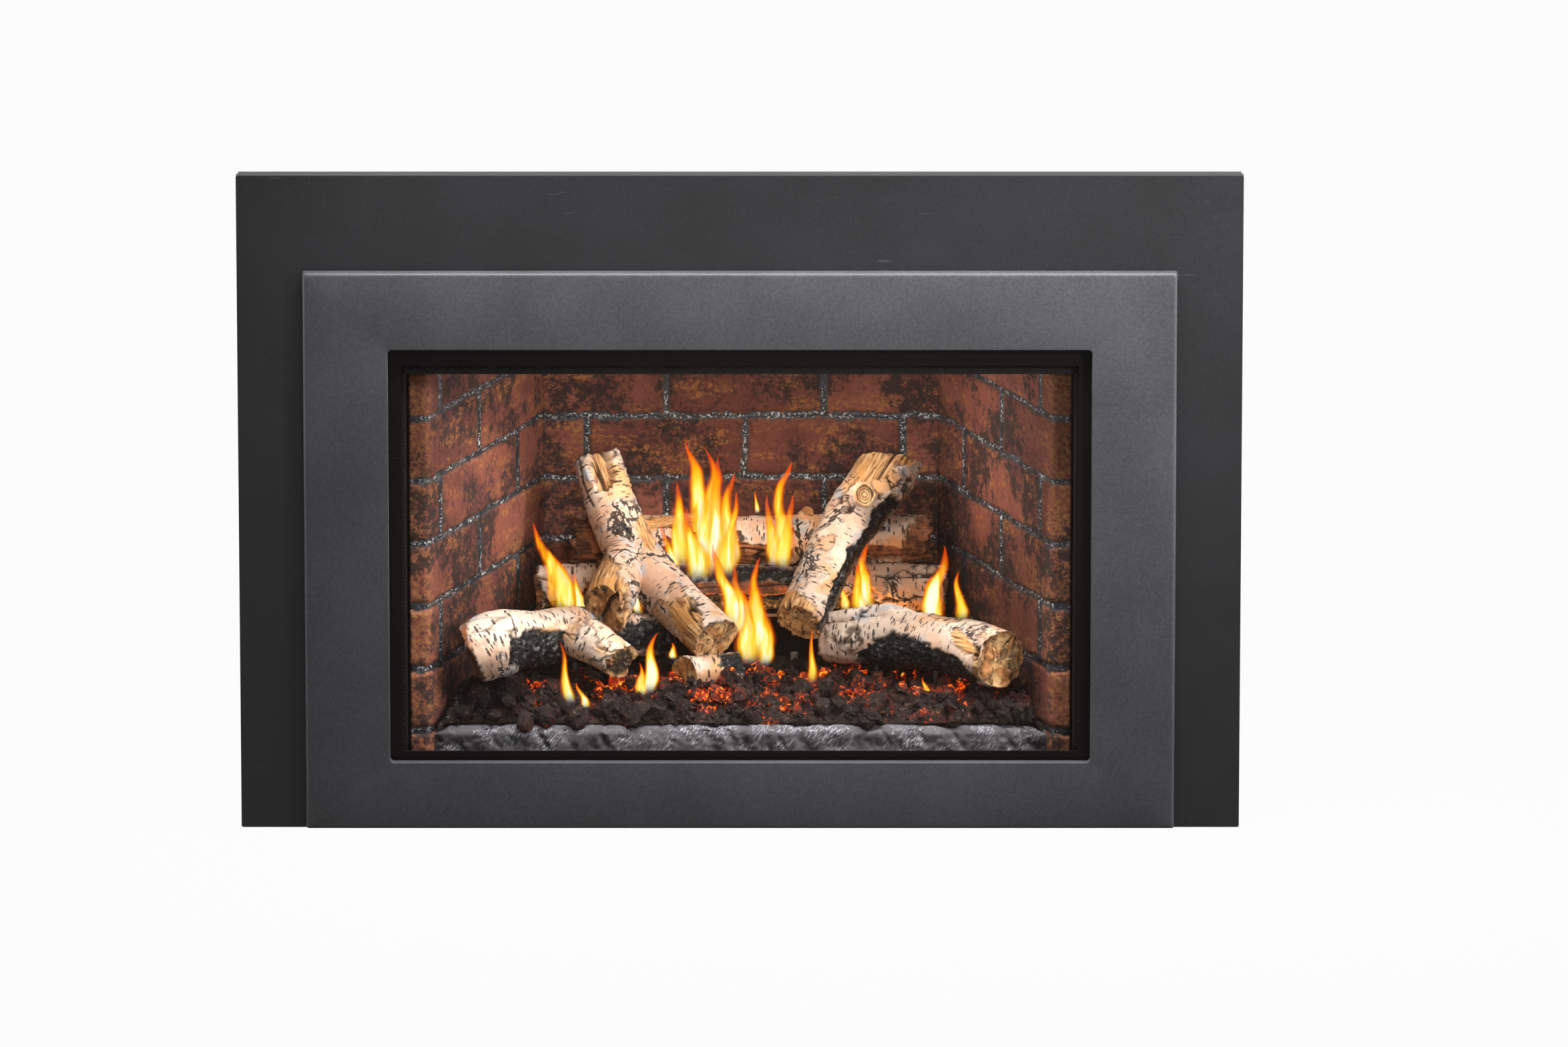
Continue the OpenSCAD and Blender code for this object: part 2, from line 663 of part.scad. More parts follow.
module ember_front_strip() color("#5b5b5e") difference() {
    translate([0, 0, floor_z]) linear_extrude(pan_h) polygon(sides([
        [brick_front_w / 2 - 2, strip_front_y], [brick_front_w / 2 - 15, strip_back_y]]));
    translate([-brick_front_w, strip_front_y, pan_top]) rotate([45, 0, 0])
        translate([0, -6, -6]) cube([2 * brick_front_w, 12, 12]);
}

// The bed's section across its depth, and lumps placed on a steady spiral pattern
bed_section = [[deep(58), 0], [deep(62), 9], [deep(80), 19], [deep(100), 25], [deep(125), 29],
    [deep(165), 30], [deep(200), 26], [deep(236), 14], [deep(242), 0]];
bed_front_y = deep(60);
bed_back_y = deep(244);
bed_gap = 18;
bed_front_x = wall_half(bed_front_y) - bed_gap;
bed_back_x = wall_half(bed_back_y) - bed_gap;
lump_count = 44;

function bed_height(y) = lookup(y, bed_section);
function lump_u(i) = (i * 0.6180339) - floor(i * 0.6180339);

module ember_bed() color("#3a2f2c") difference() {
    union() {
        intersection() {
            translate([-bed_front_x, 0, pan_top]) rotate([90, 0, 90]) linear_extrude(2 * bed_front_x)
                polygon(bed_section);
            translate([0, 0, pan_top - cut]) linear_extrude(60) polygon(sides([
                [bed_front_x, bed_front_y], [bed_back_x, bed_back_y]]));
        }
        for (i = [0 : lump_count - 1])
            let (y = deep(78 + 130 * (i + 0.5) / lump_count),
                 half = wall_half(y) - bed_gap - 16,
                 x = (2 * lump_u(i) - 1) * half,
                 r = 6 + 3 * lump_u(i * 7))
                translate([x, y, pan_top + bed_height(y) - 0.55 * r]) sphere(r);
    }
    for (p = front_pins) rod_z(p[0] * log_spread, p[1], pan_top - cut, pin_r + 1, 60);
    for (list = [left_front_chain, left_stub_chain, right_front_chain, small_front_chain, leaning_chain])
        log_nest(list);
    translate([pilot_x - 26, pilot_y - 12, pan_top - cut]) cube([52, 24, 60]);
}

// ---- Logs -----------------------------------------------------------------

// Each log is a chain of [x, distance behind the face's front, height above the pan, radius].
left_front_chain = [[-273.5, 70, 69, 27], [-236.5, 84, 76, 31], [-168, 128, 72, 27], [-72, 178, 63, 16]];
left_stub_chain = [[-206, 108, 76, 23], [-136, 84, 60, 17]];
fork_trunk_chain = [[-147, 275, 222, 21], [-113, 220, 145, 25], [-30, 115, 78, 26]];
fork_branch_chain = [[-113, 220, 145, 24], [-143, 106, 112, 23]];
leaning_chain = [[156, 294, 219, 28.4], [60, 132, 86.5, 27.4]];
right_front_chain = [[96, 162, 62.5, 22.5], [185, 126, 68, 31], [267, 64, 71, 28]];
small_front_chain = [[-60, 98, 44.5, 15], [2, 114, 46.5, 15]];
rear_lower_chain = [[-214, 262, 93, 23.7], [215, 262, 93, 23.7]];
rear_upper_chain = [[-178, 282.1, 139.2, 25.5], [200, 282.1, 139.2, 25.5]];

log_room = 596.8;                // width between the brick walls that the log set is made for
log_spread = brick_front_w / log_room;
function at(p) = [p[0] * log_spread, deep(p[1]), pan_top + p[2]];

// One tapered length between two points, used to mould the embers round a log
module limb(a, b, ra, rb) {
    v = b - a;
    translate(a) rotate([0, acos(v[2] / norm(v)), atan2(v[1], v[0])]) cylinder(h = norm(v), r1 = ra, r2 = rb);
}

module log_nest(list) for (i = [0 : len(list) - 2])
    limb(at(list[i]), at(list[i + 1]), list[i][3] + 1, list[i + 1][3] + 1);

// A smooth path through the chain's points
function weigh(p, t) = 0.5 * (2 * p[1] + (p[2] - p[0]) * t
    + (2 * p[0] - 5 * p[1] + 4 * p[2] - p[3]) * t * t + (3 * p[1] - p[0] - 3 * p[2] + p[3]) * t * t * t);
function smooth(list, steps) = let (last = len(list) - 1) concat(
    [for (i = [0 : last - 1], k = [0 : steps - 1])
        weigh([list[max(i - 1, 0)], list[i], list[i + 1], list[min(i + 2, last)]], k / steps)],
    [list[last]]);
function unit(v) = v / norm(v);
function heading(list, i) = unit(at(list[min(i + 1, len(list) - 1)]) - at(list[max(i - 1, 0)]));

// A log: rings of points along the path, slightly uneven like a grown stem
log_sides = 20;
log_steps = 7;
function uneven(a, i) = 1 + 0.02 * sin(2 * a + 47 * i) + 0.01 * sin(3 * a - 70 * i);
function ring(list, i) = let (t = heading(list, i), u = unit(cross(t, [0, 0, 1])), w = cross(u, t))
    [for (k = [0 : log_sides - 1]) let (a = 360 * k / log_sides)
        at(list[i]) + list[i][3] * uneven(a, i) * (cos(a) * u + sin(a) * w)];

module log_chain(list) {
    path = smooth(list, log_steps);
    last = len(path) - 1;
    n = log_sides;
    polyhedron(
        points = [for (i = [0 : last]) each ring(path, i)],
        faces = concat(
            [[for (k = [n - 1 : -1 : 0]) k]],
            [for (i = [0 : last - 1], k = [0 : n - 1]) let (a = i * n + k, b = i * n + (k + 1) % n)
                each [[a, b + n, a + n], [a, b, b + n]]],
            [[for (k = [0 : n - 1]) last * n + k]]));
}

// Pins stand on the pan under the front logs: [x, y, height of the log's underside above the pan]
front_pins = [[-236, deep(86), 46], [-170, deep(127), 46], [140, deep(147), 40],
    [200, deep(116), 40], [-30, deep(95), 30]];

module pin_sockets() for (p = front_pins)
    rod_z(p[0] * log_spread, p[1], pan_top - cut, pin_r + seat, p[2] + pin_bite + seat + cut);

module left_front_log() color("#cfc3b6") difference() {
    union() {
        log_chain(left_front_chain);
        log_chain(left_stub_chain);
    }
    pin_sockets();
}

module left_forked_log() color("#d8ccbf") union() {
    log_chain(fork_trunk_chain);
    log_chain(fork_branch_chain);
}

module right_leaning_log() color("#d8ccbf") union() {
    log_chain(leaning_chain);
    translate(at([122, 214, 172])) sphere(16, $fn = 20);
}

module right_front_log() color("#cfc3b6") difference() {
    log_chain(right_front_chain);
    pin_sockets();
}

module small_front_log() color("#cfc3b6") difference() {
    log_chain(small_front_chain);
    pin_sockets();
}

module rear_upper_log() color("#b9a48f") log_chain(rear_upper_chain);
module rear_lower_log() color("#c4b3a2") log_chain(rear_lower_chain);

rail_gap = 0.9;
rail_z = pan_top + rear_lower_chain[0][2] - rear_lower_chain[0][3] - rail_gap;
rail_y = deep(rear_lower_chain[0][1]);
stop_y = deep(rear_upper_chain[0][1]) + rear_upper_chain[0][3] + seat;
rail_d = 24;
rail_half = at(rear_lower_chain[1])[0] - 15;
post_x = rail_half - 50;
bar = 3;

module log_grate() color("#2d2b2a") {
    union() {
        translate([-rail_half, rail_y - rail_d / 2, rail_z - bar]) cube([2 * rail_half, rail_d, bar]);
        for (s = [-1, 1]) translate([s * post_x - 10, 0, 0]) union() {
            translate([0, rail_y - bar / 2, pan_top]) cube([20, bar, rail_z - pan_top - bar / 2]);
            translate([0, rail_y, rail_z - bar]) cube([20, stop_y - rail_y + bar, bar]);
            translate([0, stop_y, floor_z]) cube([20, bar, rail_z + 62 - floor_z]);
        }
    }
    for (p = front_pins) rod_z(p[0] * log_spread, p[1], pan_top, pin_r, p[2] + pin_bite);
}

// ---- Flue collars ---------------------------------------------------------

collar_foot = 10;                // width of the flange that sits on the firebox
bead = 2;                        // raised ring that stops the liner

module collar(x) difference() {
    union() {
        rod_z(x, collar_y, roof_z, collar_r, casing_h + collar_len - roof_z);
        rod_z(x, collar_y, roof_z, collar_r + collar_foot, plate);
        rod_z(x, collar_y, casing_h, collar_r + bead, bead);
    }
    rod_z(x, collar_y, roof_z - cut, collar_r - collar_t, casing_h + collar_len - roof_z + 2 * cut);
}

module exhaust_collar() color("#a9abad") collar(collar_x);
module intake_collar() color("#a9abad") collar(-collar_x);

// ---- Gas controls ---------------------------------------------------------

pilot_axis_x = valve_x0 + 22;
flame_axis_x = valve_x0 + 58;
spindle_r = 4;
flame_shaft_r = 3;
spindle_y = valve_y - 26;
bore_len = 18;

module gas_valve() color("#a5a8ab") difference() {
    union() {
        translate([valve_x0, valve_y, valve_z]) cube([valve_w, valve_d, valve_h]);
        for (x = [valve_x0 + 6, valve_x0 + valve_w - 18])
            translate([x, valve_y + 8, base_top]) cube([12, valve_d - 16, valve_z - base_top + cut]);
        rod_x(valve_x0 - 8, control_y, control_z, 11, 8 + cut);
        rod_x(valve_x0 + valve_w - cut, control_y, manifold_z, 8, 8 + cut);
        rod_y(pilot_axis_x, valve_y - 6, control_z, 10, 6 + cut);
        rod_y(flame_axis_x, valve_y - 6, control_z, 9, 6 + cut);
    }
    rod_y(pilot_axis_x, valve_y - 6 - cut, control_z, spindle_r + run_gap, bore_len + cut);
    rod_y(flame_axis_x, valve_y - 6 - cut, control_z, flame_shaft_r + run_gap, bore_len + cut);
}

module valve_spindle() color("#c9cbcd") rod_y(pilot_axis_x, spindle_y, control_z, spindle_r,
    valve_y - 6 + bore_len - 4 - spindle_y);

knob_len = 14;

// A round knob with a grip bar across its front; bore_r is the radius of its blind bore
module knob(x, y, z, r, bore_r, bore_depth) difference() {
    union() {
        rod_y(x, y, z, r, knob_len);
        translate([x - 3, y - 5, z - r + 1.5]) cube([6, 6, 2 * r - 3]);
    }
    if (bore_r > 0) rod_y(x, y + knob_len - bore_depth, z, bore_r, bore_depth + cut);
}

module pilot_knob() color("#1c1c1d") knob(pilot_axis_x, spindle_y - seat - 4, control_z, pilot_knob_r,
    spindle_r + run_gap, knob_len - 4);

module flame_knob() color("#1c1c1d") union() {
    knob(flame_axis_x, spindle_y - 4, control_z, flame_knob_r, 0, 0);
    rod_y(flame_axis_x, spindle_y + knob_len - 5, control_z, flame_shaft_r,
        valve_y - 6 + bore_len - 2 - spindle_y - knob_len + 5);
}

panel_x0 = 60;
panel_w = 240;
panel_y = face_y + 44;
igniter_x = 95;
switch_x = 165;
blower_axis_x = 245;
igniter_r = 5;
blower_shaft_r = 3;
rocker_r = 14;
rocker_w = 18;
rocker_y = panel_y + 7;
rocker_tilt = 8;

module control_panel() color("#8e9092") difference() {
    union() {
        translate([panel_x0, panel_y, base_top]) cube([panel_w, sheet, 54]);
        translate([panel_x0, panel_y, base_top]) cube([panel_w, 26, sheet]);
    }
    rod_y(igniter_x, panel_y - cut, control_z, igniter_r + run_gap, sheet + 2 * cut);
    rod_y(blower_axis_x, panel_y - cut, control_z, blower_shaft_r + run_gap, sheet + 2 * cut);
    translate([switch_x - rocker_w / 2 - 1, panel_y - cut, control_z - rocker_r]) cube([rocker_w + 2,
        sheet + 2 * cut, 2 * rocker_r]);
}

// Bodies behind the panel: igniter, rocker switch and speed control
module control_bodies() color("#232325") {
    difference() {
        rod_y(igniter_x, panel_y + sheet, control_z, 10, 30);
        rod_y(igniter_x, panel_y + sheet - cut, control_z, igniter_r + seat, 24);
    }
    union() {
        difference() {
            translate([switch_x - rocker_w / 2 - 3, panel_y + sheet, control_z - rocker_r - 3])
                cube([rocker_w + 6, 22, 2 * rocker_r + 6]);
            rod_x(switch_x - rocker_w / 2 - seat, rocker_y, control_z, rocker_r + seat, rocker_w + 2 * seat);
            translate([switch_x - rocker_w / 2 - seat, panel_y, control_z - rocker_r - seat])
                cube([rocker_w + 2 * seat, rocker_y - panel_y, 2 * rocker_r + 2 * seat]);
        }
        rod_x(switch_x - rocker_w / 2 - 1, rocker_y, control_z, 1.5, rocker_w + 2);
    }
    difference() {
        translate([blower_axis_x - 14, panel_y + sheet, control_z - 14]) cube([28, 18, 28]);
        rod_y(blower_axis_x, panel_y, control_z, blower_shaft_r + run_gap, 14);
    }
}

module igniter_button() color("#a32020") union() {
    rod_y(igniter_x, panel_y - igniter_travel - 7, control_z, 8, 6);
    rod_y(igniter_x, panel_y - igniter_travel - 2, control_z, igniter_r, igniter_travel + 16);
}

module burner_switch() color("#141415") difference() {
    translate([switch_x - rocker_w / 2, rocker_y, control_z]) rotate([-rocker_tilt, 0, 0]) intersection() {
        rod_x(0, 0, 0, rocker_r, rocker_w);
        translate([-cut, -rocker_r - cut, -10]) cube([rocker_w + 2 * cut, rocker_r + 4, 20]);
    }
    rod_x(switch_x - rocker_w, rocker_y, control_z, 1.5 + run_gap, 2 * rocker_w);
}

module blower_knob() color("#1c1c1d") union() {
    knob(blower_axis_x, panel_y - knob_len - 1, control_z, blower_knob_r, 0, 0);
    rod_y(blower_axis_x, panel_y - 2, control_z, blower_shaft_r, 13);
}

stop_x = 90 - casing_w / 2;
stop_body_r = 13;
stop_half = 22;
stop_stem_r = 4;
lever_z = control_z + stop_body_r + 4;

module shutoff_valve() color("#c2a25a") difference() {
    union() {
        rod_x(stop_x - stop_half, control_y, control_z, 11, 2 * stop_half);
        rod_x(stop_x - stop_half / 2, control_y, control_z, stop_body_r, stop_half);
        rod_z(stop_x, control_y, control_z, 7, stop_body_r + 3);
    }
    rod_z(stop_x, control_y, control_z + 4, stop_stem_r + run_gap, stop_body_r + 8);
    for (s = [-1, 1]) rod_x(stop_x + s * stop_half - 8, control_y, control_z, s < 0 ? inlet_r : tube_r, 16);
}

module shutoff_handle() color("#c2a422") union() {
    rod_z(stop_x, control_y, control_z + 6, stop_stem_r, lever_z - control_z - 5);
    rod_z(stop_x, control_y, lever_z, 8, 2.5);
    translate([stop_x, control_y - 6, lever_z]) cube([46, 12, 2.5]);
}

tube_r = 6;

// The inlet pipe through the casing side, and the short tube from the shut-off to the valve
locknut_t = 3;

module gas_pipes() color("#3c3c3d") {
    difference() {
        union() {
            rod_x(-casing_w / 2 - inlet_len, control_y, control_z, inlet_r,
                casing_w / 2 + inlet_len + stop_x - stop_half + 8);
            rod_x(-casing_w / 2 - locknut_t, control_y, control_z, inlet_r + 4, locknut_t);
        }
        rod_x(-casing_w / 2 - inlet_len - cut, control_y, control_z, inlet_r - 2.5, casing_w);
    }
    difference() {
        rod_x(stop_x + stop_half - 8, control_y, control_z, tube_r, valve_x0 - 8 - stop_x - stop_half + 8);
        rod_x(stop_x, control_y, control_z, tube_r - 1.5, casing_w / 2);
    }
}

// ---- Blower ---------------------------------------------------------------

blower_y = insert_d / 2 - 53;
blower_z = 31;
scroll_r = wheel_r + 4;
shaft_r = 3;
blade_count = 20;
end_t = 1.5;
half_len = wheel_len / 2 + 4;
motor_r = 22;
motor_len = 46;

module blower_housing() color("#7f8183") difference() {
    union() {
        difference() {
            rod_x(-half_len, blower_y, blower_z, scroll_r + sheet, 2 * half_len);
            rod_x(-half_len - cut, blower_y, blower_z, scroll_r, 2 * half_len + 2 * cut);
            translate([-half_len - cut, blower_y - 40, base_top + 6])
                cube([2 * half_len + 2 * cut, 28, 34]);
            translate([-half_len - cut, blower_y - 4, blower_z + 6])
                cube([2 * half_len + 2 * cut, 22, 30]);
        }
        for (s = [-1, 1])
            translate([s * half_len - (s < 0 ? end_t : 0), blower_y - scroll_r - sheet, base_top])
            cube([end_t, 2 * (scroll_r + sheet), blower_z + scroll_r + sheet - base_top]);
    }
    rod_x(-half_len - 5, blower_y, blower_z, shaft_r + run_gap, 2 * half_len + 10);
}

module blower_wheel() color("#3d3f42") union() {
    rod_x(-half_len - 4, blower_y, blower_z, shaft_r, 2 * half_len + 20);
    for (x = [-wheel_len / 2, -1, wheel_len / 2 - 2]) rod_x(x, blower_y, blower_z, wheel_r, 2);
    translate([0, blower_y, blower_z]) for (i = [0 : blade_count - 1]) rotate([i * 360 / blade_count, 0, 0])
        translate([-wheel_len / 2 + 1, wheel_r - 5.5, 0]) rotate([30, 0, 0]) cube([wheel_len - 2, 5, 0.8]);
}

module blower_motor() color("#6f7174") difference() {
    union() {
        rod_x(half_len + end_t, blower_y, blower_z, motor_r, motor_len);
        translate([half_len + end_t + 6, blower_y - 14, base_top]) cube([motor_len - 12, 28, 12]);
    }
    rod_x(half_len, blower_y, blower_z, shaft_r + run_gap, 20);
}

box_x0 = casing_w / 2 - sheet - 56;

module junction_box() color("#8e9092") union() {
    translate([box_x0, control_y - 26, base_top]) cube([56, 52, 42]);
    difference() {
        union() {
            rod_x(casing_w / 2 - sheet - cut, control_y, box_z, entry_r, 16);
            rod_x(casing_w / 2, control_y, box_z, entry_r + 4, 4);
        }
        rod_x(casing_w / 2 - sheet + 2, control_y, box_z, entry_r - 4, 20);
    }
}

bolt_x = casing_back_w / 2 - 22;
bolt_y = insert_d / 2 - 25;
bolt_low = 0.6;

module levelling_bolt(s) color("#9fa1a3") union() {
    rod_z(s * bolt_x, bolt_y, bolt_low, bolt_r, 60);
    translate([s * bolt_x, bolt_y, bolt_low + 58]) cylinder(h = 6, r = bolt_r * 2, $fn = 6);
}

module levelling_bolt_left() levelling_bolt(-1);
module levelling_bolt_right() levelling_bolt(1);

surround_panel();
panel_screws();
face_frame();
casing_flange();
casing_base();
casing_left();
casing_right();
casing_rear();
casing_top();
firebox_frame();
firebox_shell();
brick_panel_rear();
brick_panel_left();
brick_panel_right();
brick_clips();
baffle_plate();
relief_flap_left();
relief_flap_right();
glass_frame();
glass_pane();
glass_gasket();
glass_clips();
glass_latch_left();
glass_latch_right();
burner_pan();
air_shutter();
gas_manifold();
pilot_bracket();
pilot_probes();
ember_bed();
ember_front_strip();
log_grate();
left_front_log();
left_forked_log();
right_leaning_log();
right_front_log();
small_front_log();
rear_upper_log();
rear_lower_log();
exhaust_collar();
intake_collar();
restrictor_plate();
gas_valve();
valve_spindle();
pilot_knob();
flame_knob();
control_panel();
control_bodies();
igniter_button();
burner_switch();
blower_knob();
shutoff_valve();
shutoff_handle();
gas_pipes();
blower_housing();
blower_wheel();
blower_motor();
junction_box();
levelling_bolt_left();
levelling_bolt_right();
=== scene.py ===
# %% [markdown]
# # Dressing a gas fireplace insert
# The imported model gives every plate, log and knob its true place. This script loads it as a fixed
# frame and then gives each piece the look it has in the showroom: grey powder coat, moulded brick,
# birch logs cast in ceramic fibre, embers and flames. Nothing is moved. A piece is either painted
# as it is, or a finer mesh is made in the same place and stands for it.

# %% Load the frame
import itertools
import json
import math
from contextlib import contextmanager
from functools import partial

import bmesh
import bpy
import numpy as np
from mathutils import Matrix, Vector


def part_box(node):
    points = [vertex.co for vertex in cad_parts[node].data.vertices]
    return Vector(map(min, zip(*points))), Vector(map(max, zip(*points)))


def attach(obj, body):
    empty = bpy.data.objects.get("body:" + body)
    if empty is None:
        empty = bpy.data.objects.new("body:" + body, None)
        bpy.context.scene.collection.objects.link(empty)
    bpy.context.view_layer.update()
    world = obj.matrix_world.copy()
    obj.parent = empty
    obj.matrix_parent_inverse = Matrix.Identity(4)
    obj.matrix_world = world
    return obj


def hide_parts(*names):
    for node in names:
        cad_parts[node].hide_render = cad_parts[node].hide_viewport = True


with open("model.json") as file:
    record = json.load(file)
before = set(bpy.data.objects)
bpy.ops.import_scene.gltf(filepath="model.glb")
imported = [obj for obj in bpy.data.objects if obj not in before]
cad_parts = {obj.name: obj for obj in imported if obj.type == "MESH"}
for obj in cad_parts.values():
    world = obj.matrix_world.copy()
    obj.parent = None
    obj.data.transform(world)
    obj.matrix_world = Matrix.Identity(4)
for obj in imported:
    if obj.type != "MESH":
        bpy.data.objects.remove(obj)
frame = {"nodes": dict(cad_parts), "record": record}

NODES = frame["nodes"]
SLOT_OF = {row["node"]: row["material_slot"] for row in frame["record"]["subparts"]}
BODY_OF = {node: body for body, names in frame["record"]["behaviour"]["bodies"].items() for node in names}
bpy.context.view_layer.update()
MM = 0.001

# %% [markdown]
# ## Small tools for materials
# A procedural material is a graph of nodes. Written out in full it fills pages, so a few short
# helpers make it readable: one adds a node and fills its sockets, some do a sum, others make noise
# or turn a range of values into a mask. All of them add to the graph that is being filled.

# %% Node helpers
GRAPH = []  # the node trees that are being filled; the helpers add to the last one


def node(kind, sockets=None, **settings):
    """Adds a node and returns its outputs. A socket is linked, any other value is set."""
    made = GRAPH[-1].nodes.new(kind)
    for key, value in settings.items():
        setattr(made, key, value)
    for key, value in (sockets or {}).items():
        if isinstance(value, bpy.types.NodeSocket):
            GRAPH[-1].links.new(value, made.inputs[key])
        else:
            made.inputs[key].default_value = value
    return made.outputs


def calc(operation, a, b=0.0):
    return node("ShaderNodeMath", {0: a, 1: b}, operation=operation)[0]


def vec(operation, a, b):
    """Vector sums; b is a number where a vector is scaled."""
    return node("ShaderNodeVectorMath", {0: a, 3 if operation == "SCALE" else 1: b}, operation=operation)


times, plus, minus, most = (partial(calc, word) for word in ("MULTIPLY", "ADD", "SUBTRACT", "MAXIMUM"))


def between(value, low, high, start=0.0, end=1.0):
    """0 below low and 1 above high, with a soft step; low may be the larger one."""
    return node("ShaderNodeMapRange", {"Value": value, "From Min": low, "From Max": high,
                "To Min": start, "To Max": end}, interpolation_type="SMOOTHSTEP")[0]


def mixed(factor, a, b):
    return node("ShaderNodeMix", {0: factor, 6: a, 7: b}, data_type="RGBA")[2]


def coats(base, *layers):
    """Lays colours over a base: each layer is its mask, how well it covers, and its colour."""
    for mask, share, colour in layers:
        base = mixed(times(mask, share) if share < 1 else mask, base, colour)
    return base


def stretched(vector, x, y, z):
    return node("ShaderNodeMapping", {"Vector": vector, "Scale": (x, y, z)})[0]


def noise(vector, scale, detail=3.0, output="Fac", **sockets):
    rest = {key.replace("_", " "): value for key, value in sockets.items()}
    return node("ShaderNodeTexNoise", {"Vector": vector, "Scale": scale, "Detail": detail, **rest})[output]


def cloud(vector, lump_mm, detail=3.0, **sockets):
    """Noise whose lumps are about lump_mm across."""
    return noise(vector, 600.0 / lump_mm, detail, **sockets)


def patches(vector, lump_mm, detail, low, high, **sockets):
    """A mask of soft-edged patches, cut out of a cloud."""
    return between(cloud(vector, lump_mm, detail, **sockets), low, high)


def cells(vector, scale, **settings):
    return node("ShaderNodeTexVoronoi", {"Vector": vector, "Scale": scale}, **settings)


def parts(colour):
    return node("ShaderNodeSeparateColor", {0: colour})


def tag(name):
    """A mask that was put on the mesh's points."""
    return node("ShaderNodeAttribute", attribute_name=name)["Fac"]


def rgb(r, g, b):
    """A colour given as 0 to 255 display values, as the linear numbers a shader needs."""
    lin = [c / 255 / 12.92 if c / 255 <= 0.04045 else ((c / 255 + 0.055) / 1.055) ** 2.4
           for c in (r, g, b)]
    return (*lin, 1.0)


print("mid grey as a shader sees it:", rgb(128, 128, 128)[0])

# %% [markdown]
# Effects that several finishes share are node groups, built once. A group only hands out masks and
# heights: the Principled shader stays in the material, where exporters can find it.

# %% Shader groups
def new_group(name, kind, inputs, outputs):
    """An empty node group that is now being filled, its ends, and its input sockets by name."""
    tree = bpy.data.node_groups.new(name, kind)
    sockets = {}
    for label, (socket, value) in inputs.items():
        sockets[label] = tree.interface.new_socket(label, in_out="INPUT", socket_type="NodeSocket" + socket)
        if value is not None:
            sockets[label].default_value = value
    for label, socket in outputs.items():
        tree.interface.new_socket(label, in_out="OUTPUT", socket_type="NodeSocket" + socket)
    GRAPH.append(tree)
    return tree, tree.nodes.new("NodeGroupInput").outputs, tree.nodes.new("NodeGroupOutput").inputs, sockets


def shared(name, numbers, outputs, build):
    inputs = {"Vector": ("Vector", None), **{label: ("Float", value) for label, value in numbers.items()}}
    tree, come, leave, _ = new_group(name, "ShaderNodeTree", inputs, dict.fromkeys(outputs, "Float"))
    for label, socket in zip(outputs, build(come)):
        tree.links.new(socket, leave[label])
    return GRAPH.pop()


def use(group, vector, **values):
    named = {label.replace("_", " "): value for label, value in values.items()}
    return node("ShaderNodeGroup", {"Vector": vector, **named}, node_tree=group)


def build_powder(come):
    fine = noise(come["Vector"], calc("DIVIDE", 600.0, come["Lump mm"]), 2.0, Roughness=0.6)
    broad = cloud(come["Vector"], 55, 2.0)
    return fine, plus(times(fine, 0.55), times(broad, 0.45))


def build_specks(come):
    cell = cells(come["Vector"], calc("DIVIDE", 1000.0, come["Pitch mm"]))
    near = between(cell["Distance"], 0.42, 0.22)
    return (times(near, calc("LESS_THAN", parts(cell["Color"])[0], come["Share"])),)


def build_scuffs(come):
    lines = [between(noise(stretched(come["Vector"], *scale), 1.0), 0.66, 0.74)
             for scale in ((40, 900, 260), (700, 60, 50))]
    patch = patches(come["Vector"], 70, 2.0, 0.5, 0.68)
    return (times(times(most(*lines), patch), come["Amount"]),)


def build_spangle(come):
    crystal = cells(come["Vector"], calc("DIVIDE", 1000.0, come["Crystal mm"]))
    pick = parts(crystal["Color"])
    return plus(times(pick[0], 0.7), times(cloud(come["Vector"], 4), 0.3)), pick[1]


def build_scorch(come):
    """Blocks of charred wood: a raised cell with cracks round it, in two sizes."""
    large, small = [
        between(cells(come["Vector"], calc("DIVIDE", 1000.0 * share, come["Block mm"]),
                      feature="DISTANCE_TO_EDGE")["Distance"], 0.0, 0.16) for share in (1.0, 2.3)]
    return (plus(times(large, 0.7), times(small, 0.3)),)


POWDER = shared("powder_grain", {"Lump mm": 1.4}, ["Height", "Tone"], build_powder)
SPECKS = shared("specks", {"Pitch mm": 3.0, "Share": 0.4}, ["Mask"], build_specks)
SCUFFS = shared("scuffs", {"Amount": 1.0}, ["Mask"], build_scuffs)
SPANGLE = shared("zinc_spangle", {"Crystal mm": 11.0}, ["Tone", "Tilt"], build_spangle)
SCORCH = shared("scorched_blocks", {"Block mm": 6.0}, ["Height"], build_scorch)
print("shader groups:", [g.name for g in bpy.data.node_groups])


# %% Material helper
BUMP_STRENGTH = 0.6
FINISH = {}


def finish(slot, name, build, **plain):
    """A material: plain numbers go on the shader's own sockets, build() links what varies."""
    material = bpy.data.materials.new(name)
    material.use_nodes = True
    GRAPH.append(material.node_tree)
    shader = material.node_tree.nodes["Principled BSDF"]
    for label, value in plain.items():
        shader.inputs[label.replace("_", " ")].default_value = value
    found = build(node("ShaderNodeTexCoord")["Object"])
    if "Height" in found:
        found["Normal"] = node("ShaderNodeBump", {"Height": found.pop("Height"), "Strength": BUMP_STRENGTH,
                               "Distance": found.pop("Depth mm") * MM})[0]
    for label, socket in found.items():
        GRAPH[-1].links.new(socket, shader.inputs[label])
    GRAPH.pop()
    FINISH[slot] = material


# %% [markdown]
# ## Painted sheet
# The surround is satin black, the removable face a lighter grey powder coat with a fine orange-peel
# skin. Both are flat steel, so all their life comes from the paint: a grain about a millimetre
# across, and a faint change of tone over a hand's width.

# %% Painted finishes
DULL = {"Specular_IOR_Level": 0.2}


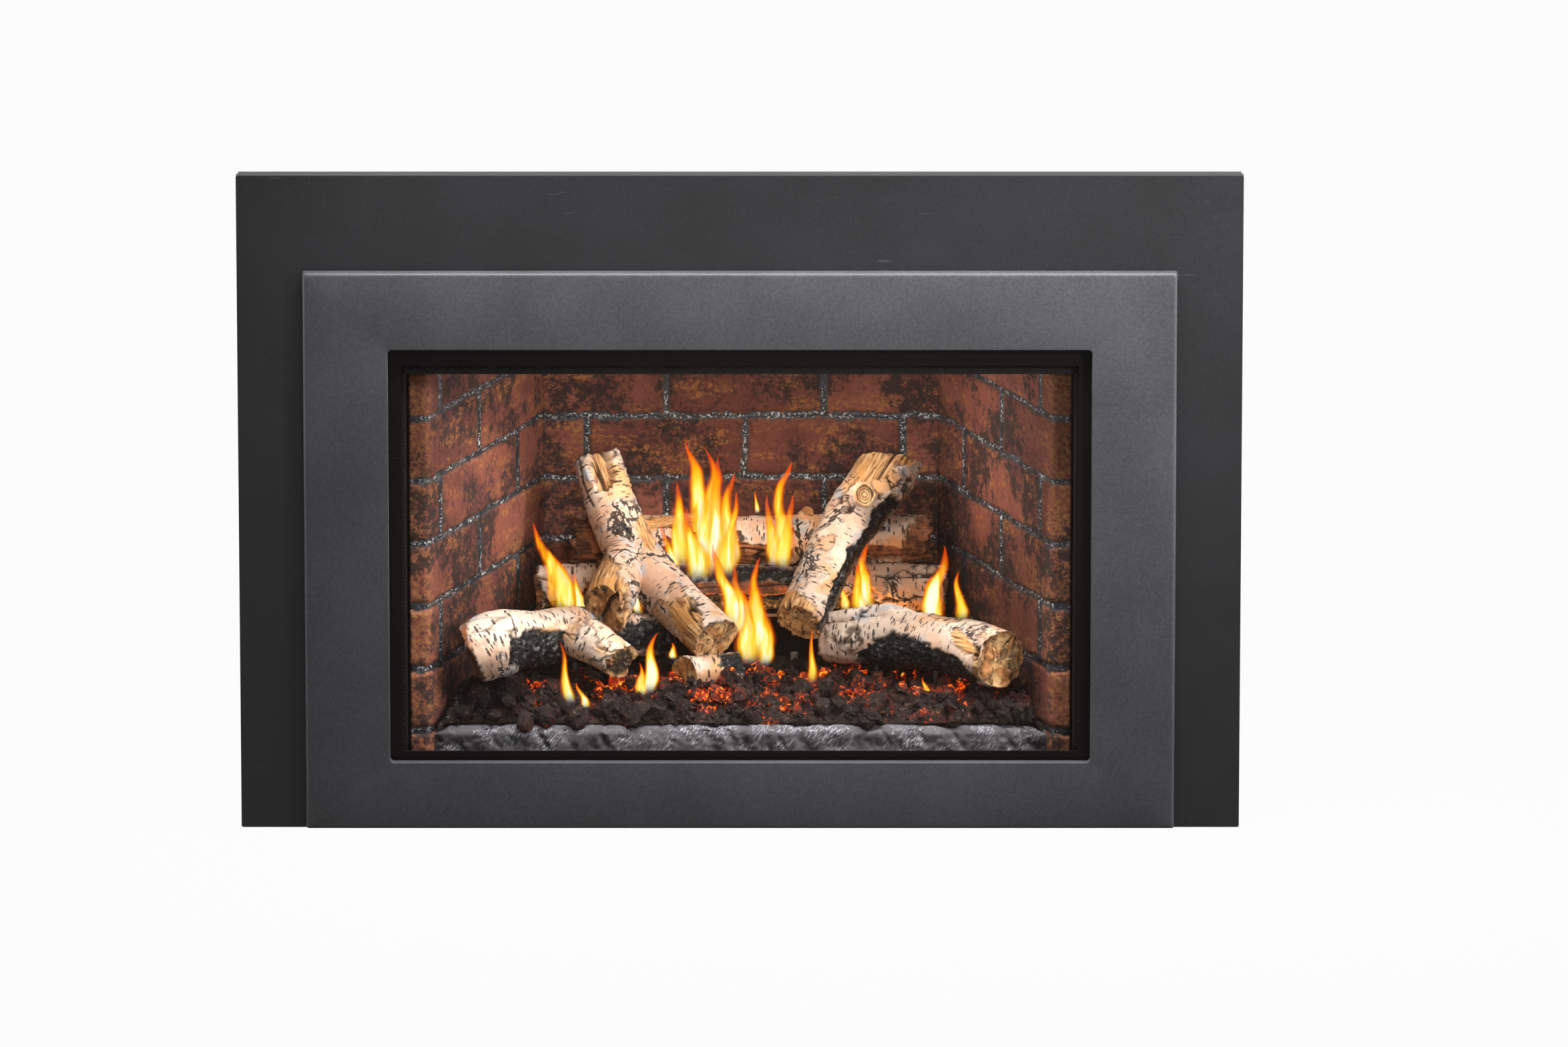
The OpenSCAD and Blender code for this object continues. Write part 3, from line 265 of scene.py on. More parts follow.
def painted(dark, light, lump, gloss, depth):
    def build(here):
        grain = use(POWDER, here, Lump_mm=lump)
        worn = use(SCUFFS, here, Amount=0.35)["Mask"]
        colour = mixed(between(grain["Tone"], 0.3, 0.7), dark, light)
        colour = mixed(times(worn, 0.25), colour, rgb(120, 120, 122))
        return {"Base Color": colour, "Height": grain["Height"], "Depth mm": depth,
                "Roughness": between(grain["Tone"], 0.3, 0.7, gloss - 0.04, gloss + 0.05)}
    return build


for slot, name, dark, light, lump, gloss, depth, extra in (
        ("surround_black", "satin_black_paint", (25, 25, 26), (30, 29, 31), 1.1, 0.42, 0.05, DULL),
        ("face_grey", "grey_powder_coat", (50, 49, 51), (63, 63, 66), 1.6, 0.44, 0.12,
         {"Specular_IOR_Level": 0.16}),
        ("flange_black", "heat_black_paint", (13, 12, 11), (20, 18, 17), 2.2, 0.6, 0.08, DULL),
        ("blower_grey", "grey_blower_paint", (70, 72, 74), (84, 86, 88), 1.2, 0.45, 0.06, {}),
        ("frame_bronze", "bronze_black_paint", (7, 5, 4), (14, 11, 9), 1.3, 0.36, 0.05,
         {"Specular_IOR_Level": 0.08}),
        ("pipe_black", "black_pipe_scale", (26, 25, 26), (46, 44, 44), 3.0, 0.55, 0.10, {"Metallic": 0.6})):
    finish(slot, name, painted(rgb(*dark), rgb(*light), lump, gloss, depth), **extra)
print("painted finishes:", len(FINISH))

# %% [markdown]
# ## Metal that is left bare
# The casing is galvanised sheet, whose zinc freezes in small crystals, 6 or 7 mm across. Steel,
# brass and spun aluminium share one recipe, streaks along the way they were rolled or turned. Cast
# metal and moulded plastic share another, a grain with small pits in it.

# %% Bare metals
def zinc(here):
    star = use(SPANGLE, here, Crystal_mm=6.5)
    worn = use(SCUFFS, here, Amount=0.8)["Mask"]
    broad = cloud(here, 120, 3.0)
    blend = plus(times(star["Tone"], 0.6), times(broad, 0.4))
    tone = mixed(between(blend, 0.15, 0.85), rgb(112, 115, 118), rgb(160, 163, 166))
    chalk = times(patches(here, 60, 5.0, 0.56, 0.68, Roughness=0.7), 0.35)
    tone = mixed(chalk, tone, rgb(176, 178, 178))
    return {"Base Color": mixed(worn, tone, rgb(96, 96, 97)),
            "Roughness": between(star["Tilt"], 0.0, 1.0, 0.42, 0.60),
            "Height": star["Tone"], "Depth mm": 0.03}


def rolled(dark, light, along=(30, 500, 500), soft=0.32, heat=None):
    def build(here):
        line = noise(stretched(here, *along), 1.0, 4.0)
        stain = patches(here, 30, 4.0, 0.45, 0.72)
        colour = mixed(times(stain, 0.6), mixed(line, dark, light), heat or dark)
        return {"Base Color": colour, "Roughness": between(line, 0.3, 0.7, soft - 0.07, soft + 0.1),
                "Height": line, "Depth mm": 0.04}
    return build


def cast(dark, light, grain_mm=1.2, gloss=0.5):
    """A skin with a fine grain and small pits, of cast metal or moulded plastic."""
    def build(here):
        grain = use(POWDER, here, Lump_mm=grain_mm)
        pits = use(SPECKS, here, Pitch_mm=2.6, Share=0.25)["Mask"]
        height = minus(grain["Height"], times(pits, 0.5))
        return {"Base Color": mixed(grain["Tone"], dark, light), "Height": height, "Depth mm": 0.15,
                "Roughness": between(grain["Tone"], 0.3, 0.7, gloss - 0.1, gloss + 0.08)}
    return build


finish("casing_zinc", "galvanised_sheet", zinc, Metallic=0.85)
finish("valve_aluminium", "die_cast_aluminium", cast(rgb(136, 138, 140), rgb(172, 174, 176)), Metallic=0.85)
for slot, name, dark, light, rest, bare in (
        ("spring_steel", "spring_steel", (120, 121, 124), (176, 178, 180), {}, 0.9),
        ("flap_steel", "tempered_flap_steel", (96, 92, 88), (150, 146, 140), {"heat": rgb(92, 74, 60)}, 0.9),
        ("burner_steel", "sooted_burner_steel", (52, 50, 49), (104, 101, 98),
         {"soft": 0.5, "heat": rgb(58, 44, 36)}, 0.8),
        ("gas_brass", "turned_brass", (150, 118, 60), (196, 162, 92),
         {"along": (400, 400, 60), "heat": rgb(124, 92, 50)}, 0.95),
        ("collar_aluminium", "spun_aluminium", (150, 152, 154), (204, 205, 206),
         {"along": (40, 40, 700), "soft": 0.3, "heat": rgb(128, 129, 131)}, 0.95),
        ("spindle_steel", "turned_steel", (122, 124, 126), (180, 182, 184),
         {"along": (300, 300, 300), "soft": 0.28}, 0.95)):
    finish(slot, name, rolled(rgb(*dark), rgb(*light), **rest), Metallic=bare)
print("with metals:", len(FINISH))

# %% [markdown]
# ## Plastic, fibre and glass
# The controls are moulded plastic with a faint spark-eroded grain. The gasket is woven glass fibre.
# The window is ceramic glass with a little amber in it: only a small part of the light stops in it,
# so its alpha is low and the fire behind stays bright.

# %% Plastic, fibre, glass
def woven(here):
    thread = node("ShaderNodeTexWave", {"Vector": here, "Scale": 160.0, "Distortion": 1.5,
                  "Detail": 2.0, "Detail Scale": 3.0}, bands_direction="DIAGONAL")["Fac"]
    fuzz = cloud(here, 1.2)
    return {"Base Color": mixed(thread, rgb(10, 9, 8), rgb(27, 24, 22)),
            "Roughness": between(fuzz, 0.2, 0.8, 0.8, 0.95),
            "Height": plus(thread, times(fuzz, 0.5)), "Depth mm": 0.5}


def glassy(here):
    haze = cloud(here, 90, 4.0)
    return {"Alpha": between(haze, 0.4, 0.75, 0.05, 0.075),
            "Roughness": between(haze, 0.3, 0.7, 0.04, 0.09)}


def fired(here):
    grain = cloud(here, 1.0, 3.0)
    soot = patches(here, 9, 3.0, 0.5, 0.7)
    return {"Base Color": mixed(soot, rgb(132, 122, 112), rgb(70, 60, 54)),
            "Roughness": between(grain, 0.2, 0.8, 0.55, 0.75), "Height": grain, "Depth mm": 0.1}


for slot, name, dark, light, gloss in (
        ("knob_plastic", "black_knob_plastic", (24, 24, 25), (34, 34, 35), 0.42),
        ("body_plastic", "black_body_plastic", (28, 28, 29), (42, 42, 43), 0.5),
        ("igniter_red", "red_button_plastic", (150, 26, 22), (182, 36, 28), 0.34),
        ("handle_yellow", "yellow_dipped_vinyl", (204, 158, 24), (228, 184, 40), 0.36)):
    finish(slot, name, cast(rgb(*dark), rgb(*light), 0.8, gloss))
finish("gasket_fibre", "woven_gasket", woven, Specular_IOR_Level=0.15)
finish("probe_ceramic", "fired_ceramic", fired)
finish("ceramic_glass", "ceramic_glass", glassy, Base_Color=rgb(40, 28, 18), IOR=1.5)
print("all small finishes:", len(FINISH))

# %% [markdown]
# ## Noise for mesh points
# Brick, bark and embers need real relief, not only a bump in the shader, because they are seen from
# all sides and cast small shadows. These functions give each point a steady value from its place
# alone, so a piece comes out the same on every run.

# %% Noise for mesh points
def dice(corner, seed):
    """A fixed number from 0 to 1 for each whole-number corner of space."""
    c = corner.astype(np.int64)
    h = (c[..., 0] * 73856093) ^ (c[..., 1] * 19349663) ^ (c[..., 2] * 83492791) ^ (seed * 26544357)
    h = ((h ^ (h >> 13)) * 1274126177) & 0xFFFFFFFF
    h = ((h ^ (h >> 15)) * 22468225) & 0xFFFFFFFF
    return ((h >> 9) & 0xFFFF) / 65535.0


def rough(points, size, seed, layers=3):
    """Cloudy noise of about -1 to 1, with lumps about size across."""
    points = np.asarray(points, float)
    total, weight, sum_of = np.zeros(points.shape[:-1]), 1.0, 0.0
    for layer in range(layers):
        q = points / size * 2 ** layer + 13.7 * layer
        base = np.floor(q)
        f = q - base
        f = f * f * (3 - 2 * f)
        value = 0
        for corner in itertools.product((0, 1), repeat=3):
            share = np.prod(np.where(corner, f, 1 - f), axis=-1)
            value = value + share * dice(base + np.array(corner), seed + layer)
        total, sum_of, weight = total + weight * (2 * value - 1), sum_of + weight, weight / 2
    return total / sum_of * 1.6


def pebbles(points, size, seed):
    """Distance to the nearest and the second nearest of a steady scatter of points, and a tag."""
    q = np.asarray(points, float) / size
    base = np.floor(q)
    first = np.full(q.shape[:-1], 9.0)
    second, tag = first.copy(), np.zeros(q.shape[:-1])
    for step in itertools.product((-1, 0, 1), repeat=3):
        cell = base + np.array(step)
        spot = cell + np.stack([dice(cell, seed + k) for k in range(3)], -1)
        d = np.linalg.norm(spot - q, axis=-1)
        closer = d < first
        second = np.where(closer, first, np.minimum(second, d))
        tag = np.where(closer, dice(cell, seed + 7), tag)
        first = np.where(closer, d, first)
    return first * size, second * size, tag


def ease(value, low, high):
    t = np.clip((value - low) / (high - low), 0, 1)
    return t * t * (3 - 2 * t)


def lengths(corners):
    """How far each corner of a line lies along it."""
    return np.concatenate([[0], np.cumsum(np.linalg.norm(np.diff(corners, axis=0), axis=1))])


def resampled(corners, at, s):
    """A line's values at the distances s, when its corners lie at the distances at."""
    return np.stack([np.interp(s, at, column) for column in corners.T], -1)


def unit(vectors):
    return vectors / np.linalg.norm(vectors, axis=-1, keepdims=True)


print("noise at one point:", float(rough(np.array([10.0, 20.0, 30.0]), 8, 1)))


# %% Mesh helpers
SHARP = math.radians(32)  # bends below this angle are shaded smooth


@contextmanager
def reshaped(mesh):
    """The mesh as a bmesh that can be worked on, and is written back at the end."""
    shell = bmesh.new()
    shell.from_mesh(mesh)
    yield shell
    shell.to_mesh(mesh)
    shell.free()


def placed(name, data):
    made = bpy.data.objects.new(name, data)
    bpy.context.scene.collection.objects.link(made)
    return made


def solid(name, points_mm, faces, uv=None, slot=None, tags=None):
    """A piece from points in millimetres. uv is one row per face corner; tags go on the points."""
    mesh = bpy.data.meshes.new(name)
    mesh.from_pydata((np.asarray(points_mm) * MM).tolist(), [], faces)
    if uv is not None:
        layer = mesh.uv_layers.new(name="UVMap")
        layer.data.foreach_set("uv", np.asarray(uv, np.float32).ravel())
    for key, values in (tags or {}).items():
        mesh.attributes.new(key, "FLOAT", "POINT").data.foreach_set("value", np.asarray(values, np.float32))
    mesh.polygons.foreach_set("use_smooth", [True] * len(mesh.polygons))
    with reshaped(mesh) as shell:
        bmesh.ops.recalc_face_normals(shell, faces=shell.faces)
    made = placed(name, mesh)
    if slot:
        mesh.materials.append(FINISH[slot])
    return made


def put(made, *nodes):
    """The piece rides with the nodes it stands for, and they are hidden."""
    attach(made, BODY_OF[nodes[0]])
    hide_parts(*nodes)
    print(made.name, "stands for", ", ".join(nodes), "-", len(made.data.polygons), "faces")


def grid_faces(rows, columns, first=0, closed=False):
    i, j = np.meshgrid(np.arange(rows - 1), np.arange(columns if closed else columns - 1), indexing="ij")
    k = (j + 1) % columns
    corners = np.stack([i * columns + j, i * columns + k, (i + 1) * columns + k, (i + 1) * columns + j], -1)
    return corners.reshape(-1, 4) + first


def fan(first, sides, hub):
    """Triangles from a ring of points to the one in its middle."""
    return [[first + j, first + (j + 1) % sides, hub] for j in range(sides)]


def merged(shells):
    """Several (points, faces, uv, tags) as one, which still are separate closed shells."""
    points, faces, uv, tags, first = [], [], [], {}, 0
    for shell_points, shell_faces, shell_uv, shell_tags in shells:
        points.append(shell_points)
        faces += [[k + first for k in face] for face in shell_faces]
        uv.append(shell_uv)
        for key, value in shell_tags.items():
            tags.setdefault(key, []).append(value)
        first += len(shell_points)
    tags = {key: np.concatenate(value) for key, value in tags.items()}
    return np.concatenate(points), faces, np.concatenate(uv), tags


def slab(front, low_back, high_back):
    """A closed block: a dense front grid (rows, columns, 3), and two lines that end its plain back.
    Seen from the front, columns run to the right and rows run up."""
    rows, columns = front.shape[:2]
    points = np.concatenate([front.reshape(-1, 3), low_back, high_back])
    low, high, top = rows * columns, rows * columns + columns, (rows - 1) * columns
    faces = grid_faces(rows, columns).tolist()
    for j in range(columns - 1):
        faces += [[j, low + j, low + j + 1, j + 1], [top + j, top + j + 1, high + j + 1, high + j],
                  [low + j, high + j, high + j + 1, low + j + 1]]
    for j in (0, columns - 1):
        faces.append([i * columns + j for i in range(rows)] + [high + j, low + j])
    return points, faces


print("mesh helpers ready")

# %% [markdown]
# ## Brick panels
# The firebox is lined with three panels of fibre ceramic, moulded and painted to look like old
# brick. A texture alone would look flat where the side walls are seen at a slant, so each panel is
# a dense grid whose points are pushed in at the joints. The joint lines wander, the bricks have
# worn edges, and the side panels roll round a bullnose at the front.

# %% Brick pattern
BRICK_LOW, BRICK_HIGH = 66.0, 464.0  # foot and top of the panels
COURSE, JOINT = 65.3, 8.0  # height of a course, width of a joint
ROWS = [91.5 + COURSE * i for i in range(6)]  # heights of the level joints


def brick_relief(flat, run, upright, seed, narrow=1.0):
    """How far each point stands behind the brick face, and its masks. flat is the points before
    relief, run the distance along the wall, upright(course) lists where the upright joints are."""
    wander = 1.5 * rough(flat, 26, seed, 3) + 1.1 * rough(flat, 7, seed + 5, 2)
    z = flat[..., 2] + wander
    course = np.floor((z - ROWS[0]) / COURSE)
    to_row = np.abs((z - ROWS[0] + COURSE / 2) % COURSE - COURSE / 2) / JOINT
    s = run + 1.3 * rough(flat, 20, seed + 9, 3)
    to_end, count = np.full(z.shape, 99.0), np.zeros(z.shape)
    for k in range(-1, 6):
        for place in upright(k):
            inside = course == k
            to_end = np.where(inside, np.minimum(to_end, np.abs(s - place) / (JOINT * narrow)), to_end)
            count = count + (inside & (s > place))
    gap = np.minimum(to_row, to_end)
    gap = gap + 0.09 * rough(flat, 5, seed + 3, 2) + 0.05 * rough(flat, 13, seed + 6, 2)
    mortar = 1 - ease(gap, 0.42, 0.55)
    worn = np.exp(-np.maximum(gap - 0.5, 0) * 4.5)
    chips = ease(rough(flat, 9, seed + 21, 2), 0.55, 0.95) * ease(worn, 0.25, 0.7)
    face = 0.6 * rough(flat, 30, seed + 1) + 0.5 * rough(flat, 6, seed + 2)
    face = face + 1.2 * worn * (1 - mortar) + 1.9 * chips
    shallow = np.where((to_end < to_row) & (narrow > 1), 0.4, 1.0)
    bed = (3.7 + 0.7 * rough(flat, 6, seed + 4, 3)) * shallow - 1.7 * ease(0.36 - gap, 0.0, 0.3)
    tone = dice(np.stack([course + 9, count + 9, course * 0 + seed], -1), seed)
    push = np.clip(face * (1 - mortar) + bed * mortar, 0, 4.6)
    return push, {"mortar": mortar, "tone": tone, "streak": ease(0.38 - gap, 0.0, 0.25), "worn": worn}


def line_points(corners, pitch):
    """Distances along a bent line in plan, a pitch apart, the points there and the way it runs."""
    at = lengths(corners)
    s = np.linspace(0, at[-1], int(at[-1] / pitch) + 1)
    spots = resampled(np.array(corners), at, s)
    way = np.gradient(spots, s, axis=0)
    for _ in range(3):
        way[1:-1] = (way[:-2] + way[1:-1] * 2 + way[2:]) / 4
    return s, spots, unit(way)


print("joint rows at", ROWS)

# %% Brick side panels
ARC = [math.radians(a) for a in range(0, 70, 10)]
BULLNOSE = [(323 - 10.5 * math.sin(a), -155 - 10.5 * math.cos(a)) for a in ARC]
SIDE_LINE = [(336, -165.5)] + BULLNOSE + [(313.2, -158.8), (204, 134.2)]
PAST_BULLNOSE = 12  # the first point of that line which lies on the straight wall
SIDE_JOINTS = {0: (-33.5,), 1: (-134.5, 66.5)}  # depths of the upright joints, by turns
REAR_FRONT, REAR_BACK = 134.5, 155.5
BRICK_ROWS = np.linspace(BRICK_LOW, BRICK_HIGH, 190)


def front_grid(x, y, z):
    """An empty front for slab(): its points by row and column, from what the rows and columns say."""
    grid = np.zeros((len(z), len(x), 3))
    grid[..., 0], grid[..., 1], grid[..., 2] = x, y, z[:, None]
    return grid


def panel(name, grid, tags, back_x, back_y):
    """A panel with this front; its back stands upright on the given line in plan."""
    low = np.stack([back_x, back_y, np.full(len(back_x), BRICK_LOW)], -1)
    points, faces = slab(grid, low, low + [0, 0, BRICK_HIGH - BRICK_LOW])
    spare = np.zeros(2 * len(low))
    tags = {key: np.concatenate([value.ravel(), spare]) for key, value in tags.items()}
    return solid(name, points, faces, slot="fire_brick", tags=tags)


def side_panel(name, side):
    s, spots, way = line_points(SIDE_LINE, 2.1)
    grid = front_grid(spots[:, 0] * side, spots[:, 1], BRICK_ROWS)
    inward = np.stack([np.abs(way[:, 1]) * side, np.abs(way[:, 0]), way[:, 0] * 0], -1)

    def upright(course):
        return np.interp(SIDE_JOINTS[course % 2], spots[PAST_BULLNOSE:, 1], s[PAST_BULLNOSE:])

    push, tags = brick_relief(grid, s, upright, 40 + side, 1.6)
    fade = np.ones(len(s))
    fade[-1] = 0
    grid += inward[None] * (push * fade)[..., None]
    tags["edge"] = np.broadcast_to(1 - ease(s, 14, 32), grid.shape[:2])
    back = np.array([(336, -148.5), (317.051, -148.5), (228, 134.2)])
    leg = np.interp(s, [0, 24, s[-1]], [0, 1, 2])
    back_x, back_y = (np.interp(leg, [0, 1, 2], back[:, k]) for k in (0, 1))
    return panel(name, grid, tags, back_x * side, back_y)


def rear_panel():
    x = np.linspace(-228, 228, 224)
    grid = front_grid(x, REAR_FRONT, BRICK_ROWS)

    def upright(course):
        return [(n - (0.5 if course % 2 == 0 else 0)) * 164 + 4 for n in (-1, 0, 1, 2)]

    push, tags = brick_relief(grid, x, upright, 52)
    tags["edge"] = push * 0
    grid[..., 1] += push * (1 - ease(np.abs(x), 205, 207))  # flat where the side panels cover it
    return panel("brick_rear", grid, tags, x, np.full(len(x), REAR_BACK))


print("side joints at depths", SIDE_JOINTS)

# %% [markdown]
# The paint on the brick is built up as on the real panels: a red-brown ground, ochre dragged over
# it, then soot in blots and fine specks. The rolled front edges are worn to orange. Mortar is dark
# grey with small white grains that catch the light along its middle.

# %% Brick paint
def brick_paint(here):
    tone, mortar, edge, worn = [tag(name) for name in ("tone", "mortar", "edge", "worn")]
    slant = node("ShaderNodeMapping", {"Vector": here, "Rotation": (0.5, 0.7, 0.3),
                 "Scale": (0.5, 0.5, 1.6)})[0]
    dry = patches(here, 2.4, 4.0, 0.46, 0.56, Roughness=0.7)
    ochre = patches(slant, 18, 6.0, 0.485, 0.60, Roughness=0.72)
    drift = cloud(here, 38, 4.0, Roughness=0.6)
    patch = between(plus(drift, times(tone, 0.05)), 0.505, 0.565)
    blot = patches(here, 9, 6.0, 0.46, 0.52, Roughness=0.8)
    fine = patches(here, 3.4, 5.0, 0.52, 0.55, Roughness=0.78)
    soot = most(times(patch, blot), times(fine, between(drift, 0.40, 0.54, 0.25, 0.95)))
    _, y, z = node("ShaderNodeSeparateXYZ", {0: here})
    # soot and painted shade: the brick is darkened low down and towards the back, where soot lies and where
    # shade falls under the rear log
    low_rear_soot_and_shade = times(between(z, 0.225, 0.165), between(y, 0.02, 0.13))
    ground = coats(mixed(tone, rgb(110, 60, 48), rgb(138, 80, 63)),
                   (patches(here, 40, 4.0, 0.40, 0.62), 1, rgb(100, 54, 46)),
                   (times(ochre, dry), 0.85, rgb(166, 112, 60)),
                   (times(between(worn, 0.35, 0.9), times(dry, 0.55)), 1, rgb(172, 104, 60)),
                   (edge, 0.6, mixed(dry, rgb(152, 86, 64), rgb(178, 122, 72))),
                   (soot, 0.9, rgb(38, 31, 30)), (low_rear_soot_and_shade, 0.9, rgb(22, 17, 16)))
    flake = times(patches(here, 1.7, 3.0, 0.545, 0.585, Roughness=0.7), minus(1.0, low_rear_soot_and_shade))
    lit = times(flake, times(tag("streak"), patches(here, 14, 3.0, 0.36, 0.52)))
    paste = mixed(lit, mixed(cloud(here, 5, 3.0), rgb(24, 25, 28), rgb(56, 58, 63)), rgb(226, 229, 232))
    height = plus(cloud(here, 3.0, 4.0, Roughness=0.7), times(lit, 0.8))
    return {"Base Color": mixed(mortar, ground, paste), "Roughness": minus(0.85, times(mortar, 0.45)),
            "Height": height, "Depth mm": 0.9}


finish("fire_brick", "painted_fire_brick", brick_paint, Specular_IOR_Level=0.3)
put(side_panel("brick_left", -1), "brick_panel_left")
put(side_panel("brick_right", 1), "brick_panel_right")
put(rear_panel(), "brick_panel_rear")

# %% [markdown]
# ## Birch logs
# The logs are cast in ceramic fibre from real birch. Each is a chain of points in the frame's
# solids: a smooth spine with a radius. Sweeping rings of points along that spine gives a log whose
# surface can be worked like clay: bark cracks are pressed in, charred hollows are sunk, split wood
# gets its fibres, and the broken ends are torn. Masks for char and bare wood go on the points, so
# paint and relief always meet at the same edge.

# %% Spines
FACE, PAN = -212.5, 97.0  # y of the face's front, z of the pan, in mm
PITCH = 2.2  # mm between the rings of points along a log


def spine(chain):
    """Smooth points and radii along a chain of [x, behind the face, above the pan, radius]."""
    p = np.array([[x, FACE + d, PAN + h, r] for x, d, h, r in chain], float)
    last, fine = len(p) - 1, []
    for i in range(last):
        a, b, c, e = p[max(i - 1, 0)], p[i], p[i + 1], p[min(i + 2, last)]
        for t in np.arange(40) / 40:
            fine.append(0.5 * (2 * b + (c - a) * t + (2 * a - 5 * b + 4 * c - e) * t * t
                               + (3 * b - a - 3 * c + e) * t ** 3))
    fine = np.array(fine + [p[-1]])
    at = lengths(fine[:, :3])
    s = np.linspace(0, at[-1], int(at[-1] / PITCH) + 2)
    return s, resampled(fine, at, s)


def to_line(x, z, line):
    """Distance in millimetres, seen from the front, from each point to a line of (x, z) places."""
    best = np.full(x.shape, 1e9)
    for (ax, az), (bx, bz) in zip(line, line[1:] if len(line) > 1 else line):
        dx, dz = bx - ax, bz - az
        t = np.clip(((x - ax) * dx + (z - az) * dz) / max(dx * dx + dz * dz, 1e-6), 0, 1)
        best = np.minimum(best, np.hypot(x - ax - t * dx, z - az - t * dz))
    return best


def stem(chain, seed, char=(), wood=(), brown=(), near=None, far=None, sides=120, cracks=1.0):
    """One closed log shell. char, wood and brown are marks, seen from the front: (width, sunk, line).
    near and far describe the ends: torn, rim, split and tilt (across, up) in mm, and how much char,
    gash and aged wood they show."""
    s, path = spine(chain)
    middle, radius = path[:, :3], path[:, 3]
    way = unit(np.gradient(middle, s, axis=0))
    front = unit(np.array([0.0, -1.0, 0.0]) + way * way[:, 1:2])
    over = np.cross(front, way) * np.where(way[:, 0:1] < 0, -1, 1)
    turn = np.arange(sides) / sides * 2 * np.pi + np.pi
    out = np.cos(turn)[None, :, None] * front[:, None] + np.sin(turn)[None, :, None] * over[:, None]
    skin = middle[:, None] + out * radius[:, None, None]
    x, z = skin[..., 0], skin[..., 2]
    facing = ease(-out[..., 1], -0.25, 0.15)
    grain = np.stack([np.broadcast_to(s[:, None], x.shape), radius[:, None] * np.cos(turn),
                      radius[:, None] * np.sin(turn)], -1) + seed * 91.0
    shake = 5.0 * rough(skin, 16, seed + 31) + 2.2 * rough(skin, 5, seed + 32, 2)

    def marked(marks):
        share, sunk = np.zeros(x.shape), np.zeros(x.shape)
        for width, deep, line in marks:
            off = to_line(x, z, line) + shake * min(1, width / 14)
            inside = (1 - ease(off, width - 0.8, width + 0.8)) * facing
            share, sunk = np.maximum(share, inside), np.maximum(sunk, inside * deep)
        return share, sunk

    burnt, burnt_sunk = marked(char)
    bare, bare_sunk = marked(wood)
    bare = bare * (1 - burnt)
    aged, aged_sunk = marked(brown)
    bare, bare_sunk = np.maximum(bare, aged * (1 - burnt)), np.maximum(bare_sunk, aged_sunk)
    bark = (1 - burnt) * (1 - bare)
    # bark: long cracks with curling lips, in patches
    long = grain * [0.6, 1.0, 1.0]
    ridge = np.abs(rough(long, 27, seed + 2, 4))
    patch = ease(rough(grain, 58, seed + 3, 2), -0.18, 0.22) * cracks
    split = (1 - ease(ridge, 0.035, 0.11)) * np.minimum(patch, 1)
    lip = ease(ridge, 0.08, 0.13) * (1 - ease(ridge, 0.13, 0.22)) * patch
    shed = rough(grain * [0.8, 1, 1], 36, seed + 41, 4)
    peel = ease(shed, 0.56, 0.61) * bark
    rim = (1 - ease(np.abs(shed - 0.56), 0.02, 0.08)) * bark
    rim = rim * ease(rough(grain, 21, seed + 43, 2), -0.3, 0.2)
    ring_bands = rough(grain * [1.0, 0.22, 0.22], 7, seed + 4, 2)
    lift = 1.7 * rough(skin, 52, seed + 5, 2) + 0.8 * rough(grain, 15, seed + 6, 3)
    lift += bark * (0.35 * ring_bands - 2.3 * split + 1.0 * lip - 0.9 * peel + 0.8 * rim)
    # bare wood: fibres along the log, with a few deep splits
    fibre = rough(grain * [0.07, 1, 1], 2.6, seed + 7, 3)
    check = 1 - ease(np.abs(rough(grain * [0.16, 1, 1], 13, seed + 8, 2)), 0.03, 0.12)
    lift += bare * (1.1 * fibre - 4.2 * check) - bare_sunk
    # char: cracked blocks
    first, second, cell = pebbles(grain * [0.7, 1, 1], 7.5, seed + 9)
    block = ease(second - first, 0.2, 1.6)
    lift += burnt * (2.6 * block + 2.2 * (cell - 0.5) * block - 2.2) - burnt_sunk
    edge = 4 * (burnt * (1 - burnt) + bare * (1 - bare))
    lift = np.clip(lift, -0.5 * radius[:, None], 2.4)
    skin = skin + out * lift[..., None]
    shade = np.clip(split + 0.75 * edge + 0.8 * rim, 0, 1)
    for end, away in ((near, s), (far, s[-1] - s)):
        wide = (end or {}).get("rim", 1.6)
        torn = away[:, None] + 0.5 * wide * rough(grain, 9, seed + 61, 2)
        shade = np.maximum(shade, 0.9 * (1 - ease(torn, wide * 0.7, wide * 1.3)))
    hollow = np.clip(burnt * (1 - block) + bare * check, 0, 1)
    masks = {"char": burnt, "wood": bare, "crack": shade, "hollow": hollow, "peel": peel, "aged": aged}
    return close_log(s, skin, middle, way, radius, turn, seed, masks, near, far)


END_UV = 900  # the ends lie this far from the bark in the UV map, in mm
CAP_RINGS = (0.95, 0.92, 0.86, 0.79, 0.72, 0.65, 0.58, 0.5, 0.42, 0.34, 0.26, 0.18, 0.1, 0.05)


